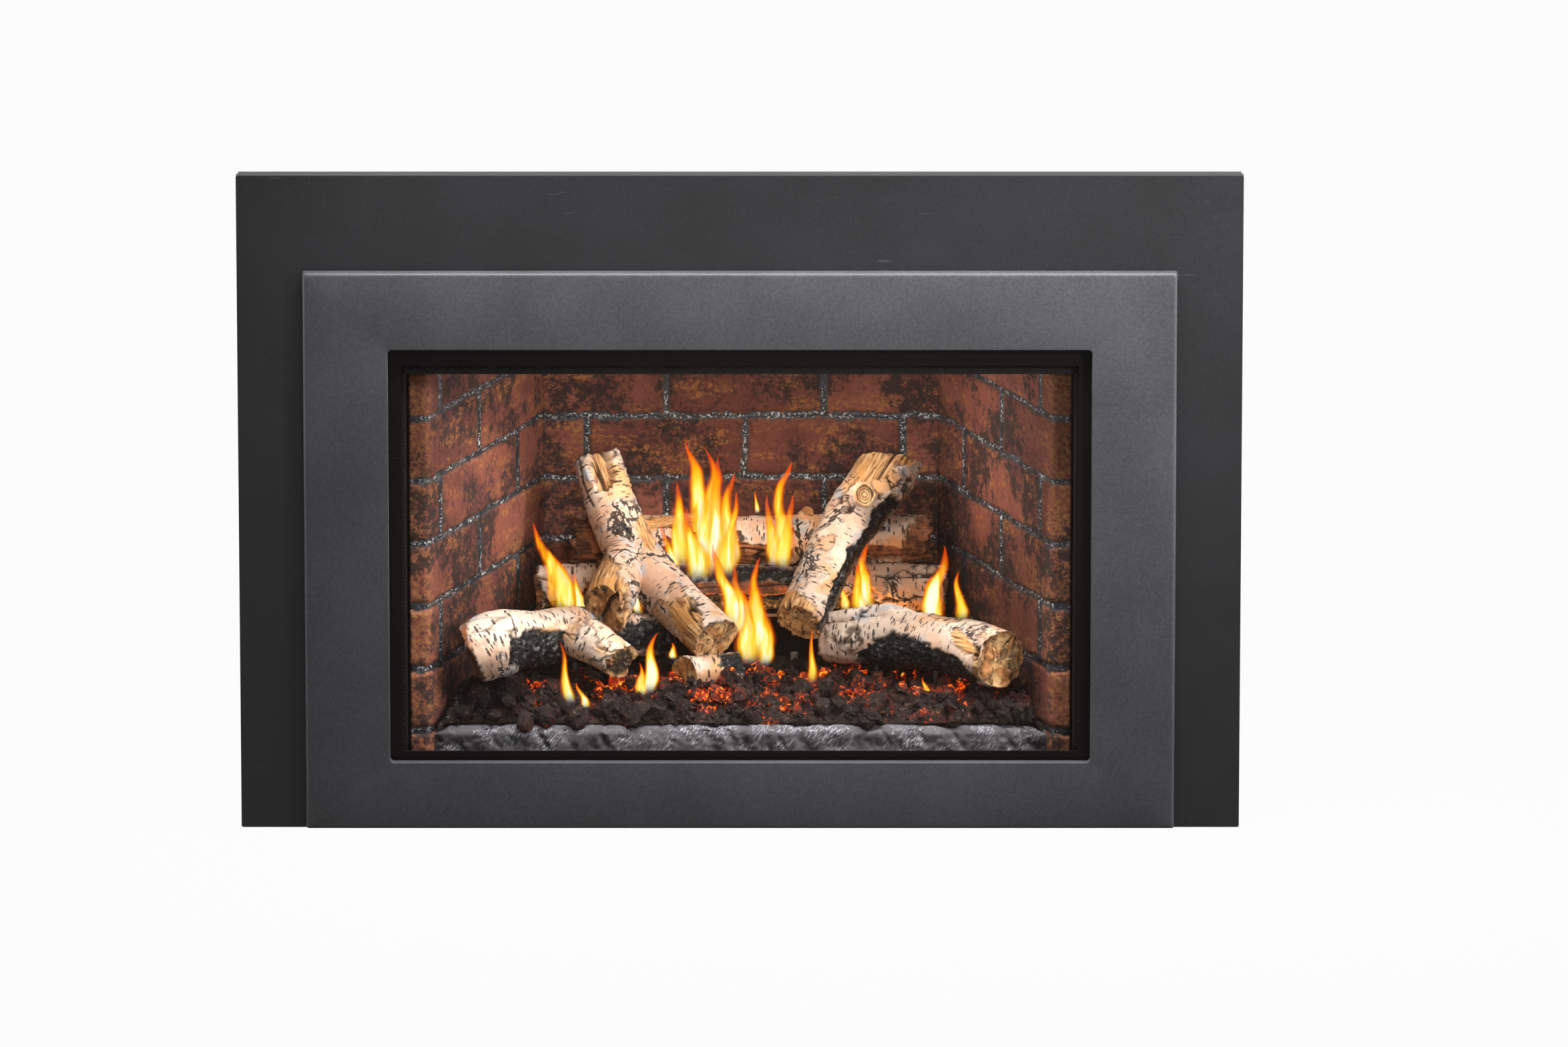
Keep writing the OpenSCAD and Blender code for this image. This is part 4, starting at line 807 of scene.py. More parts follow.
def close_log(s, skin, middle, way, radius, turn, seed, masks, near, far):
    """Adds torn ends to the swept skin and returns points, faces, uv and masks."""
    sides = len(turn)
    plain = {"torn": 2.0, "char": 0.0, "tilt": (0.0, 0.0), "gash": 0.9, "aged": 0.0, "split": 0.0}
    ends = []
    for which, end, k in ((0, {**plain, **(near or {})}, 0), (1, {**plain, **(far or {})}, -1)):
        sign = -1.0 if which == 0 else 1.0
        local = np.stack([np.cos(turn) * radius[k], np.sin(turn) * radius[k]], -1)
        slope = local @ np.array(end["tilt"]) / radius[k]

        def crevices(share):
            """Places on the end face, and the masks of its gashes and of the one long split."""
            spot = np.concatenate([local * share, np.full((sides, 1), seed * 7.0 + which * 50)], -1)
            gash = 1 - ease(np.abs(rough(spot * [1, 0.3, 1], 11, seed + 19 + which, 2)), 0.03, 0.16)
            middle_off = np.abs(spot[:, 1] + 3.0 * rough(spot, 12, seed + 23, 2))
            return spot, gash, 1 - ease(middle_off, 0.8, 3.4)

        def tear(share):
            """How far the end face stands out or in, along the log."""
            spot, gash, split = crevices(share)
            steps = rough(spot * [1, 0.4, 1], 7, seed + 11 + which, 3) + 0.5 * rough(spot, 3, seed + 14, 2)
            steps = np.clip(steps, -1, 1) - gash * end["gash"]
            fall = np.minimum(slope * share - abs(slope).max(), 0) - split * end["split"]
            return -(0.5 - 0.5 * steps) * end["torn"] + fall

        reach = 10 + 1.6 * np.abs(slope).max() + end["torn"]
        away = s if which == 0 else s[-1] - s
        pull = np.clip(1 - away / reach, 0, 1) ** 1.5
        skin = skin + sign * way[:, None] * (tear(1.0)[None] * pull[:, None])[..., None]
        edge = skin[k]
        cap = {"points": [], "uv": [], "char": [], "hollow": []}
        for share in CAP_RINGS:
            step = tear(share) - 1.0 * (1 - share) ** 0.3 - (0.9 if share < 0.94 else 0)
            flat = middle[k] + (edge - middle[k] - sign * way[k] * tear(1.0)[:, None]) * share
            ring = flat + sign * way[k] * step[:, None]
            _, gash, split = crevices(share)
            burn = end["char"] * ease(0.95 - share + 0.12 * rough(ring, 9, seed + 17, 2), 0.0, 0.2)
            dark = 0.75 * gash * (end["gash"] > 0) + split * (end["split"] > 0)
            for key, value in (("points", ring), ("uv", local * share), ("char", np.clip(burn, 0, 1)),
                               ("hollow", np.clip(dark, 0, 1))):
                cap[key].append(value)
        cap["aged"] = [np.full(sides, end["aged"])] * len(CAP_RINGS)
        ends.append({key: value[::-1] for key, value in cap.items()} if which == 0 else cap)
    start, stop = ends
    caps = len(CAP_RINGS)
    order = start["points"] + list(skin) + stop["points"]
    count = len(order)
    points = np.concatenate([np.array(order).reshape(-1, 3),
                             [np.mean(order[0], axis=0)], [np.mean(order[-1], axis=0)]])
    faces = grid_faces(count, sides, closed=True)
    column = np.tile(np.arange(sides), count - 1)
    row = np.repeat(np.arange(count - 1), sides)
    around = np.arange(sides + 1) / sides * 2 * np.pi * np.median(radius)
    bark_v = np.concatenate([np.zeros(caps), s, np.full(caps, s[-1])])
    flat_uv = np.array(start["uv"] + [start["uv"][-1]] * len(s) + stop["uv"])
    in_cap = (row < caps) | (row >= caps + len(s) - 1)
    uv = np.zeros((len(faces), 4, 2))
    for corner, (dr, dc) in enumerate(((0, 0), (0, 1), (1, 1), (1, 0))):
        across = flat_uv[row + dr, (column + dc) % sides]
        uv[:, corner, 0] = np.where(in_cap, END_UV + across[:, 0], around[column + dc])
        uv[:, corner, 1] = np.where(in_cap, across[:, 1], bark_v[row + dr])
    fans = fan(0, sides, len(points) - 2) + fan((count - 1) * sides, sides, len(points) - 1)
    uv = np.concatenate([uv.reshape(-1, 2), [[END_UV, 0]] * (3 * len(fans))])
    full = {}
    for key, value in {**masks, "end": np.zeros(skin.shape[:2])}.items():
        blank = [np.full(sides, 1.0 if key == "end" else 0.0)] * caps
        full[key] = start.get(key, blank) + list(value) + stop.get(key, blank)
    flat = {key: np.concatenate([np.array(value).ravel(), [value[0].mean(), value[-1].mean()]])
            for key, value in full.items()}
    return points, faces.tolist() + fans, uv * MM, flat


def log(name, *shells):
    """One piece from several closed shells, such as a stem and its branch."""
    points, faces, uv, tags = merged(shells)
    return solid(name, points, faces, uv, "birch_ceramic", tags)


print("log tools ready, ends of", len(CAP_RINGS), "rings")

# %% [markdown]
# Birch bark is cream, with drifts of pink, peach and blue-grey, and short dark breathing marks that
# run round the stem. The marks follow the log's own UV map, one coordinate round it and one along,
# so they stay crosswise on every bend. Cracks wind over the bark with a pale lip beside them. Bare
# wood shows fibres, a broken end shows grooves and splits, and char is black with small grey flecks
# painted on as highlights.

# %% Birch paint
def birch_paint(here):
    uv = node("ShaderNodeUVMap", uv_map="UVMap")[0]
    char, wood, end = tag("char"), tag("wood"), tag("end")
    drift, patch = cloud(here, 46, 3.0), cloud(here, 22, 4.0)
    bark = coats(mixed(between(drift, 0.42, 0.58), rgb(222, 198, 178), rgb(208, 166, 138)),
                 (between(patch, 0.54, 0.66), 1, rgb(178, 177, 178)),
                 (patches(stretched(here, 1, 1, 1.4), 30, 4.0, 0.55, 0.68), 1, rgb(222, 166, 116)),
                 (patches(here, 7, 5.0, 0.54, 0.62, Roughness=0.75), 0.5, rgb(160, 124, 100)),
                 (tag("peel"), 0.6, rgb(198, 144, 98)))
    dash = None
    for across, up, share in ((66, 300, 0.30), (110, 460, 0.30), (44, 210, 0.16)):
        bend = noise(uv, 60.0, 2.0, "Color")
        cell = cells(vec("ADD", stretched(uv, across, up, 1), bend)[0], 1.0)
        kept = calc("LESS_THAN", parts(cell["Color"])[1], share)
        mark = times(between(cell["Distance"], 0.38, 0.30), kept)
        dash = mark if dash is None else most(dash, mark)
    dash = times(dash, patches(uv, 3.0, 4.0, 0.38, 0.46, Roughness=0.8))
    ridge = cloud(stretched(here, 1, 1, 0.8), 24, 6.0, Roughness=0.62, Distortion=0.5)
    ridge = calc("ABSOLUTE", minus(ridge, 0.5))  # 0 along winding lines, which become the cracks
    torn = patches(here, 44, 3.0, 0.50, 0.56)
    lip = times(between(ridge, 0.070, 0.036), torn)
    seam = times(between(ridge, 0.032, 0.018), torn)
    bark = coats(bark, (dash, 0.92, rgb(48, 34, 27)), (tag("crack"), 0.95, rgb(44, 26, 18)),
                 (lip, 0.45, rgb(236, 220, 204)), (seam, 0.95, rgb(44, 26, 18)))
    fibre = cloud(stretched(uv, 1.0, 0.09, 1), 1.6, 4.0, Roughness=0.7)
    timber = mixed(between(fibre, 0.40, 0.60), rgb(140, 86, 48), rgb(222, 176, 122))
    timber = mixed(patches(here, 16, 4.0, 0.5, 0.64), timber, rgb(206, 148, 86))
    groove = patches(stretched(here, 1, 1, 0.3), 4.2, 5.0, 0.53, 0.60, Roughness=0.7, Distortion=0.5)
    cut = coats(rgb(222, 178, 124), (patches(here, 9, 4.0, 0.4, 0.6), 1, rgb(188, 128, 76)),
                (groove, 0.8, rgb(98, 56, 32)))
    old = mixed(patches(here, 8, 5.0, 0.42, 0.6, Roughness=0.7), rgb(66, 32, 23), rgb(158, 92, 60))
    timber = coats(timber, (end, 1, cut), (tag("aged"), 0.88, old), (tag("hollow"), 0.92, rgb(38, 20, 13)))
    colour = mixed(most(wood, end), bark, timber)
    flake = use(SCORCH, here, Block_mm=5.5)
    black = coats(mixed(flake["Height"], rgb(3, 3, 3), rgb(24, 22, 21)),
                  # painted highlights: both sets of grey flecks on the char stand for glints of light on its
                  # blocks
                  (patches(here, 4, 5.0, 0.60, 0.68, Roughness=0.75), 0.25, rgb(96, 92, 88)),
                  (patches(stretched(here, 1, 1, 0.6), 3.6, 4.0, 0.55, 0.60, Roughness=0.7), 0.6,
                   rgb(122, 118, 114)))
    colour = mixed(char, colour, black)
    peel = cloud(stretched(uv, 0.35, 1.0, 1), 2.6, 4.0, Roughness=0.7)
    skin = plus(times(peel, 0.5), times(fibre, wood))
    skin = minus(skin, times(dash, 0.4))
    skin = plus(skin, times(minus(lip, times(seam, 2.5)), 0.5))
    skin = minus(skin, times(times(groove, end), 0.9))
    rise = plus(times(skin, minus(1.0, char)), times(flake["Height"], char))
    return {"Base Color": colour, "Roughness": between(char, 0.0, 1.0, 0.78, 0.30), "Height": rise,
            "Depth mm": 1.1, "Specular IOR Level": between(char, 0.0, 1.0, 0.22, 0.26)}


finish("birch_ceramic", "birch_and_char", birch_paint)

# %% Log chains
# x, depth behind the face, height above the pan and radius. They follow the frame's solids, a few
# with a bend, a longer end or a bent stub; the twig is added.
LEFT_FRONT = [[-281, 67, 67, 29], [-250, 79, 79, 34], [-212, 100, 78, 31], [-168, 128, 76, 29],
              [-72, 178, 65, 19]]
LEFT_STUB = [[-190, 122, 87, 20], [-152, 98, 76, 21], [-114, 76, 57, 19]]
FORK_TRUNK = [[-150, 280, 228, 24], [-113, 220, 145, 26.5], [-25, 108, 73, 26]]
FORK_BRANCH = [[-113, 220, 145, 24], [-143, 93, 98, 26]]
LEANING = [[166, 309, 231, 31], [137, 262, 195, 33], [101, 207, 152, 27.5], [60, 130, 86, 26]]
RIGHT_FRONT = [[85, 166, 61, 23], [185, 126, 69, 31], [275, 61, 66, 30]]
SMALL_FRONT = [[-67, 97, 43.5, 17.5], [2, 114, 46.5, 15]]
TWIG = [[88, 152, 88, 5], [128, 147, 93, 7.5], [158, 141, 95, 9], [182, 136, 88, 7]]
REAR_LOWER = [[-214, 262, 93, 23.7], [215, 262, 93, 23.7]]
REAR_UPPER = [[-178, 282.1, 139.2, 25.5], [200, 282.1, 139.2, 25.5]]
print("the longest log is", round(REAR_LOWER[1][0] - REAR_LOWER[0][0]), "mm long")

# %% Front logs
put(log("left_front_birch",
        stem(LEFT_FRONT, 3, char=[(21, 4.0, [(-214, 172), (-194, 172), (-160, 164), (-132, 150)]),
                                  (22, 3.0, [(-206, 153), (-180, 150), (-145, 144)]),
                                  (16, 2.0, [(-118, 172), (-90, 166), (-62, 158)])],
             brown=[(6, 1.5, [(-286, 198), (-284, 168), (-281, 136)])],
             near={"torn": 3.5, "tilt": (5.0, 0.0), "rim": 3.0, "aged": 1.0},
             far={"torn": 4.0, "char": 1.0}, cracks=0.7),
        stem(LEFT_STUB, 5, near={"torn": 1.0},
             far={"torn": 7.0, "char": 0.9, "gash": 1.4, "tilt": (-5.0, 0.0)}, sides=96, cracks=0.7)),
    "left_front_log")
put(log("right_front_birch",
        stem(RIGHT_FRONT, 8, char=[(17, 2.6, [(136, 148), (152, 162), (172, 160), (200, 149), (222, 139)]),
                                   (12, 2.6, [(150, 140), (200, 136)])],
             wood=[(8, 1.1, [(244, 172), (244, 150)]), (6, 0.5, [(222, 186), (232, 176)])],
             near={"torn": 6.0, "char": 0.6}, far={"torn": 5.0, "gash": 1.3, "tilt": (-7.0, 0.0)},
             cracks=0.8),
        stem(TWIG, 9, near={"torn": 3.0, "char": 0.8}, far={"torn": 1.0}, sides=48, cracks=1.6)),
    "right_front_log")
put(log("small_front_birch",
        stem(SMALL_FRONT, 11, char=[(13, 1.2, [(-10, 156), (8, 150)])],
             near={"torn": 2.0, "tilt": (-9.0, 0.0)}, far={"torn": 4.0, "char": 1.0}, sides=96)),
    "small_front_log")

# %% Upper and rear logs
put(log("forked_birch",
        stem(FORK_TRUNK, 14, char=[(1.0, 1.2, [(-167, 326), (-162, 302), (-152, 284)]),
                                   (1.2, 1.6, [(-122, 270), (-114, 263), (-113, 255), (-104, 251)])],
             wood=[(13, 12.0, [(-147, 345), (-146, 326), (-142, 314)]),
                   (17, 1.2, [(-56, 196), (-50, 172), (-44, 154)]), (6, 0.9, [(-102, 268), (-92, 254)])],
             near={"torn": 2.5}, far={"torn": 4.0}, cracks=1.8),
        stem(FORK_BRANCH, 17, char=[(2.2, 6.0, [(-146, 226), (-143, 205), (-147, 186), (-144, 170)]),
                                    (1.4, 2.5, [(-160, 212), (-156, 196), (-160, 182)])],
             wood=[(35, 2.6, [(-148, 214), (-146, 190), (-140, 172)]), (8, 0.8, [(-135, 286), (-140, 276)])],
             near={"torn": 1.0}, far={"torn": 9.0, "gash": 0.9, "tilt": (0.0, -16.0), "split": 9.0},
             sides=104)),
    "left_forked_log")


def knot(middle, size, seed):
    """A cut branch stub: a dome with a rolled rim and rings, as a lens of rings facing forward."""
    heading = unit(np.array([0.12, -0.93, 0.34]))
    side = unit(np.cross(heading, [0, 0, 1]))
    top = np.cross(side, heading)
    sides = 64
    turn = np.arange(sides) / sides * 2 * np.pi
    rows = []
    for share, rise in ((1.22, -10), (1.18, -3), (1.08, 2.5), (0.97, 5.2), (0.84, 5.4), (0.74, 2.2),
                        (0.6, 3.4), (0.5, 1.4), (0.38, 3.0), (0.25, 1.2), (0.1, 2.2)):
        spot = np.outer(np.cos(turn) * share, side) + np.outer(np.sin(turn) * share, top)
        wave = 1 + 0.15 * rough(spot * 30, 16, seed + int(rise), 2)[:, None]
        rows.append(np.array(middle) + spot * size * wave + heading * rise * size / 16)
    points = np.concatenate([np.concatenate(rows), [rows[0].mean(0), rows[-1].mean(0)]])
    faces = grid_faces(len(rows), sides, closed=True).tolist()
    faces += fan(0, sides, len(points) - 2) + fan((len(rows) - 1) * sides, sides, len(points) - 1)
    corners = sum(len(face) for face in faces)
    ring = np.concatenate([np.repeat([0, 0, 0, 0.3, 0, 1, 0, 0.9, 0, 0.8, 0], sides), [0, 0]])
    ends = np.concatenate([np.repeat([0, 0, 0, 0.6, 1, 1, 1, 1, 1, 1, 1], sides), [0, 1]])
    tags = {key: ends * 0 for key in ("char", "wood", "crack", "peel", "aged")}
    return points, faces, np.full((corners, 2), 0.9), {**tags, "hollow": ring, "end": ends}


put(log("leaning_birch",
        stem(LEANING, 20, char=[(12, 4.0, [(158, 282), (148, 276)]),
                                (13, 5.0, [(152, 272), (134, 254), (120, 240)]),
                                (12, 5.0, [(118, 238), (104, 214), (96, 192), (93, 174)])],
             wood=[(15, 1.0, [(128, 322), (156, 336), (188, 342)]),
                   (22, 1.4, [(54, 196), (58, 180), (66, 166)])],
             near={"torn": 7.0, "tilt": (-5.0, -20.0), "gash": 1.2}, far={"torn": 7.0, "gash": 1.6},
             cracks=1.3),
        knot((127, -19, 305), 11.5, 23)),
    "right_leaning_log")
put(log("rear_upper_birch",
        stem(REAR_UPPER, 26, brown=[(24, 4.0, [(-184, 266), (-166, 228)]),
                                    (13, 2.0, [(-150, 226), (-60, 222), (40, 226)]),
                                    (22, 4.0, [(204, 258), (186, 224)]),
                                    (8, 2.0, [(100, 230), (180, 226)])],
             wood=[(9, 1.0, [(-120, 262), (-40, 258)])],
             near={"torn": 14.0, "char": 0.5, "aged": 1.0}, far={"torn": 13.0, "aged": 1.0}, cracks=1.8),
        stem([[62, 286, 156, 9], [70, 280, 171, 7]], 27, far={"torn": 5.0}, sides=48),
        stem([[96, 286, 155, 9], [107, 279, 168, 7]], 28, far={"torn": 5.0}, sides=48)),
    "rear_upper_log")
put(log("rear_lower_birch",
        stem(REAR_LOWER, 29, char=[(15, 2.0, [(-196, 168), (-60, 172), (60, 174), (130, 168)]),
                                   (7, 1.5, [(-60, 208), (20, 210), (70, 206)])],
             brown=[(13, 1.5, [(-150, 190), (-60, 192), (60, 194)]), (6, 2.0, [(-214, 204), (-211, 176)])],
             near={"torn": 6.0, "char": 0.4, "rim": 3.0, "aged": 0.6},
             far={"torn": 7.0, "rim": 3.0, "aged": 0.4}, cracks=1.8)),
    "rear_lower_log")

# %% [markdown]
# ## Ember bed and front rail
# The bed is a mound of crumbled ceramic, painted to look like cooling charcoal. The mound itself is
# one displaced grid, and loose lumps are scattered over it with Geometry Nodes, because they repeat
# by the hundred and a fixed seed keeps them where they are. In front lies a cast rail with chisel
# marks that hides the burner's edge.

# %% Mound
BED = np.array([(58, 0), (62, 9), (80, 19), (100, 25), (125, 29), (165, 30), (200, 26), (236, 14),
                (242, 0)], float)  # the mound's section: depth behind the face, height above the pan


def wall_half(y):
    """Half the clear width between the brick walls at a depth y."""
    return np.interp(y, [-165.5, -158.8, 134.2], [323.0, 313.2, 204.0])


def mound():
    start, end = FACE + BED[0, 0], FACE + BED[-1, 0]
    y = np.concatenate([[start], np.linspace(start + 1, end - 1, 92), [end]])
    share = np.linspace(-1, 1, 286)
    grid = np.zeros((len(y), len(share), 3))
    grid[..., 1] = y[:, None]
    half = wall_half(y) - 2.5
    grid[..., 0] = share * half[:, None]
    rise = np.interp(y - FACE, BED[:, 0], BED[:, 1])[:, None]
    for x, depth, wide in ((-232, 88, 46), (250, 86, 40), (-40, 100, 40)):
        hill = np.exp(-((grid[..., 0] - x) / wide) ** 2 - ((grid[..., 1] - FACE - depth) / 24) ** 2)
        rise = np.minimum(rise + 12 * hill, np.maximum(rise, 31))
    level = grid * [1, 1, 0]
    spot = level + np.stack([rough(level, 8, 61, 2), rough(level, 8, 64, 2), level[..., 2]], -1) * 2.5
    first, second, cell = pebbles(spot, 19, 71)
    lumps = 8.5 * ease(second - first, 0.3, 7) + 5.0 * (cell - 0.5)
    first, second, cell = pebbles(spot, 9, 75)
    lumps += 2.9 * ease(second - first, 0.2, 4.5) + 1.7 * rough(spot, 3.4, 79, 2)
    lumps += 2.4 * rough(spot, 55, 81, 2)
    fade = ease(np.minimum(rise, 12), 0, 12) * (1 - ease(np.abs(share), 0.985, 1.0)) ** 0.7
    grid[..., 2] = PAN + rise * (1 - ease(np.abs(share), 0.965, 1.0)) + (lumps - 5.5) * fade
    grid[..., 2] = np.maximum(grid[..., 2], PAN + 0.3 - 26 * ease(np.abs(share), 0.975, 1.0))
    grid[..., :2] += np.stack([rough(spot, 9, 85, 2), rough(spot, 9, 88, 2)], -1) * 1.6 * fade[..., None]
    low, high = grid[0].copy(), grid[-1].copy()
    low[:, 2] = high[:, 2] = PAN + 0.1 - 26 * ease(np.abs(share), 0.975, 1.0)
    points, faces = slab(grid, low, high)
    # the seams between the smaller crumbs, where the glow shows
    glow = np.concatenate([(1 - ease(second - first, 0.1, 3.2)).ravel(), np.zeros(2 * len(share))])
    return solid("ember_mound", points, faces, slot="ember_ceramic", tags={"seam": glow})


# %% [markdown]
# The glow sits in the seams between lumps and under the logs, not on every stone, so it is a mask
# of three things multiplied: distance to a few hot places, depth in a crevice, and fine specks.

# %% Ember paint
HOT = [  # x, y of each hot place in metres, and how far it reaches
    (0.020, -0.095, 0.062), (0.095, -0.095, 0.055), (0.180, -0.105, 0.060), (0.232, -0.118, 0.034),
    (0.150, -0.135, 0.034), (-0.140, -0.105, 0.045), (-0.080, -0.100, 0.048), (-0.195, -0.128, 0.024),
    (0.045, -0.143, 0.026), (-0.030, -0.125, 0.030), (-0.110, -0.138, 0.022)]


def ember_paint(here):
    flat = vec("MULTIPLY", here, (1.0, 1.3, 0.0))[0]
    heat = None
    for x, y, reach in HOT:
        near = between(vec("DISTANCE", flat, (x, y * 1.3, 0.0))["Value"], reach * 1.25, reach * 0.15)
        heat = near if heat is None else most(heat, near)
    drift = patches(here, 20, 3.0, 0.47, 0.60)
    heat = times(plus(heat, 0.08), plus(drift, 0.10))
    speck = patches(here, 3.8, 5.0, 0.54, 0.61, Roughness=0.78)
    vein = patches(here, 10, 4.0, 0.53, 0.60, Roughness=0.6, Distortion=0.6)
    glow = times(speck, plus(vein, 0.12))
    seam = times(tag("seam"), plus(speck, 0.15))
    glow = times(most(glow, seam), heat)
    ramp = mixed(between(glow, 0.10, 0.40), rgb(220, 46, 4), rgb(255, 112, 12))
    ramp = mixed(between(glow, 0.42, 0.85), ramp, rgb(255, 176, 44))
    light = mixed(between(glow, 0.05, 0.22), (0, 0, 0, 1), ramp)
    coal = mixed(cloud(here, 9, 4.0), rgb(12, 10, 9), rgb(49, 40, 36))
    coal = mixed(patches(here, 2.4, 4.0, 0.58, 0.66, Roughness=0.8), coal, rgb(108, 92, 82))
    # the coal's base colour turns orange near the hot places, weighted by the same heat mask as the glow
    orange_near_hot_places = times(patches(here, 5, 5.0, 0.48, 0.58, Roughness=0.8), heat)
    coal = mixed(orange_near_hot_places, coal, rgb(150, 52, 20))
    grain = cloud(here, 2.2, 5.0, Roughness=0.8)
    crumble = plus(times(cloud(here, 6, 4.0, Roughness=0.75), 1.4), grain)
    return {"Base Color": coal, "Roughness": between(grain, 0.3, 0.7, 0.7, 0.95), "Emission Color": light,
            "Height": crumble, "Depth mm": 3.0}


def rail_paint(here):
    turned = node("ShaderNodeMapping", {"Vector": here, "Rotation": (0.0, 0.9, 0.0)})[0]
    chisel = noise(stretched(turned, 130, 420, 1100), 1.0, 4.0)
    # pale flecks along the chisel marks, partly the rail's own flecks and partly painted highlights where
    # the chisel ridges catch the light
    pale_flecks_and_highlights = times(between(chisel, 0.53, 0.60), patches(here, 16, 4.0, 0.44, 0.56))
    base = mixed(cloud(here, 12, 5.0), rgb(48, 46, 48), rgb(100, 96, 99))
    base = mixed(patches(here, 3, 4.0, 0.60, 0.70, Roughness=0.8), base, rgb(36, 34, 36))
    grain = plus(cloud(here, 4.0, 5.0, Roughness=0.7), times(pale_flecks_and_highlights, 0.4))
    return {"Base Color": mixed(times(pale_flecks_and_highlights, 0.7), base, rgb(190, 190, 194)),
            "Roughness": between(chisel, 0.35, 0.65, 0.58, 0.85), "Height": grain, "Depth mm": 1.2}


finish("ember_ceramic", "ember_ceramic", ember_paint, Emission_Strength=1.4, Specular_IOR_Level=0.12)
finish("ember_rail_ceramic", "ember_rail_ceramic", rail_paint, Specular_IOR_Level=0.28)
bed = mound()


# %% Loose lumps with Geometry Nodes
def grown(host, tree, sockets, name, **values):
    """Runs a Geometry Nodes tree on a host mesh and keeps the result as a plain mesh."""
    modifier = host.modifiers.new(name, "NODES")
    modifier.node_group = tree
    for label, value in values.items():
        modifier[sockets[label].identifier] = value
    deps = bpy.context.evaluated_depsgraph_get()
    mesh = bpy.data.meshes.new_from_object(host.evaluated_get(deps))
    host.modifiers.remove(modifier)
    mesh.name = name
    mesh.polygons.foreach_set("use_smooth", [False] * len(mesh.polygons))
    return placed(name, mesh)


def instances(points, shape, come, leave, **options):
    """Ends a tree: a copy of shape on each point, made real, bent by bend() and given its finish."""
    bend = options.pop("bend", lambda mesh: mesh)
    many = node("GeometryNodeInstanceOnPoints", {"Points": points, "Instance": shape, **options})[0]
    real = bend(node("GeometryNodeRealizeInstances", {0: many})[0])
    done = node("GeometryNodeSetMaterial", {"Geometry": real, "Material": come["Finish"]})[0]
    GRAPH.pop().links.new(done, leave[0])


LUMPS_ABOVE, LUMPS_BEFORE = 0.0974, -0.020  # only there do lumps lie: z and y in metres


def scatter_tree():
    """Instances a rough lump on random faces of the mound, with a named size and count."""
    tree, come, leave, sockets = new_group(
        "scatter_lumps", "GeometryNodeTree",
        {"Mound": ("Geometry", None), "Density": ("Float", 4200.0), "Small": ("Float", 0.0032),
         "Large": ("Float", 0.0085), "Rough": ("Float", 0.017), "Fineness": ("Int", 2), "Seed": ("Int", 4),
         "Finish": ("Material", None)}, {"Lumps": "Geometry"})
    _, y, z = node("ShaderNodeSeparateXYZ", {0: node("GeometryNodeInputPosition")[0]})
    pick = times(calc("GREATER_THAN", z, LUMPS_ABOVE), calc("LESS_THAN", y, LUMPS_BEFORE))
    spots = node("GeometryNodeDistributePointsOnFaces", {"Mesh": come["Mound"], "Selection": pick,
                 "Density": come["Density"], "Seed": come["Seed"]})["Points"]
    ball = node("GeometryNodeMeshIcoSphere", {"Radius": 1.0, "Subdivisions": come["Fineness"]})[0]
    size = node("FunctionNodeRandomValue", {2: come["Small"], 3: come["Large"], "Seed": 3,
                "ID": node("GeometryNodeInputIndex")[0]}, data_type="FLOAT")[1]
    turn = node("FunctionNodeRandomValue", {0: (0, 0, 0), 1: (6.2, 6.2, 6.2), "Seed": 5},
                data_type="FLOAT_VECTOR")[0]
    flat = node("ShaderNodeCombineXYZ", {0: times(size, 1.25), 1: size, 2: times(size, 0.75)})[0]

    def bend(mesh):
        bumps = node("ShaderNodeTexNoise", {"Scale": 110.0, "Detail": 6.0, "Roughness": 0.8})["Color"]
        push = vec("SCALE", vec("SUBTRACT", bumps, (0.5, 0.5, 0.5))[0], come["Rough"])[0]
        return node("GeometryNodeSetPosition", {"Geometry": mesh, "Offset": push})[0]

    instances(spots, ball, come, leave, Rotation=turn, Scale=flat, bend=bend)
    return tree, sockets


lump_tree, lump_sockets = scatter_tree()
for name, values in {
        "ember_clumps": dict(Density=2600.0, Small=0.0045, Large=0.0115, Rough=0.026, Fineness=2, Seed=4),
        "ember_crumbs": dict(Density=17000.0, Small=0.0018, Large=0.0038, Rough=0.008, Fineness=1, Seed=9)
        }.items():
    lumps = grown(bed, lump_tree, lump_sockets, name, Finish=FINISH["ember_ceramic"], **values)
    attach(lumps, "root")
    print(name, "-", len(lumps.data.polygons), "faces")
put(bed, "ember_bed")


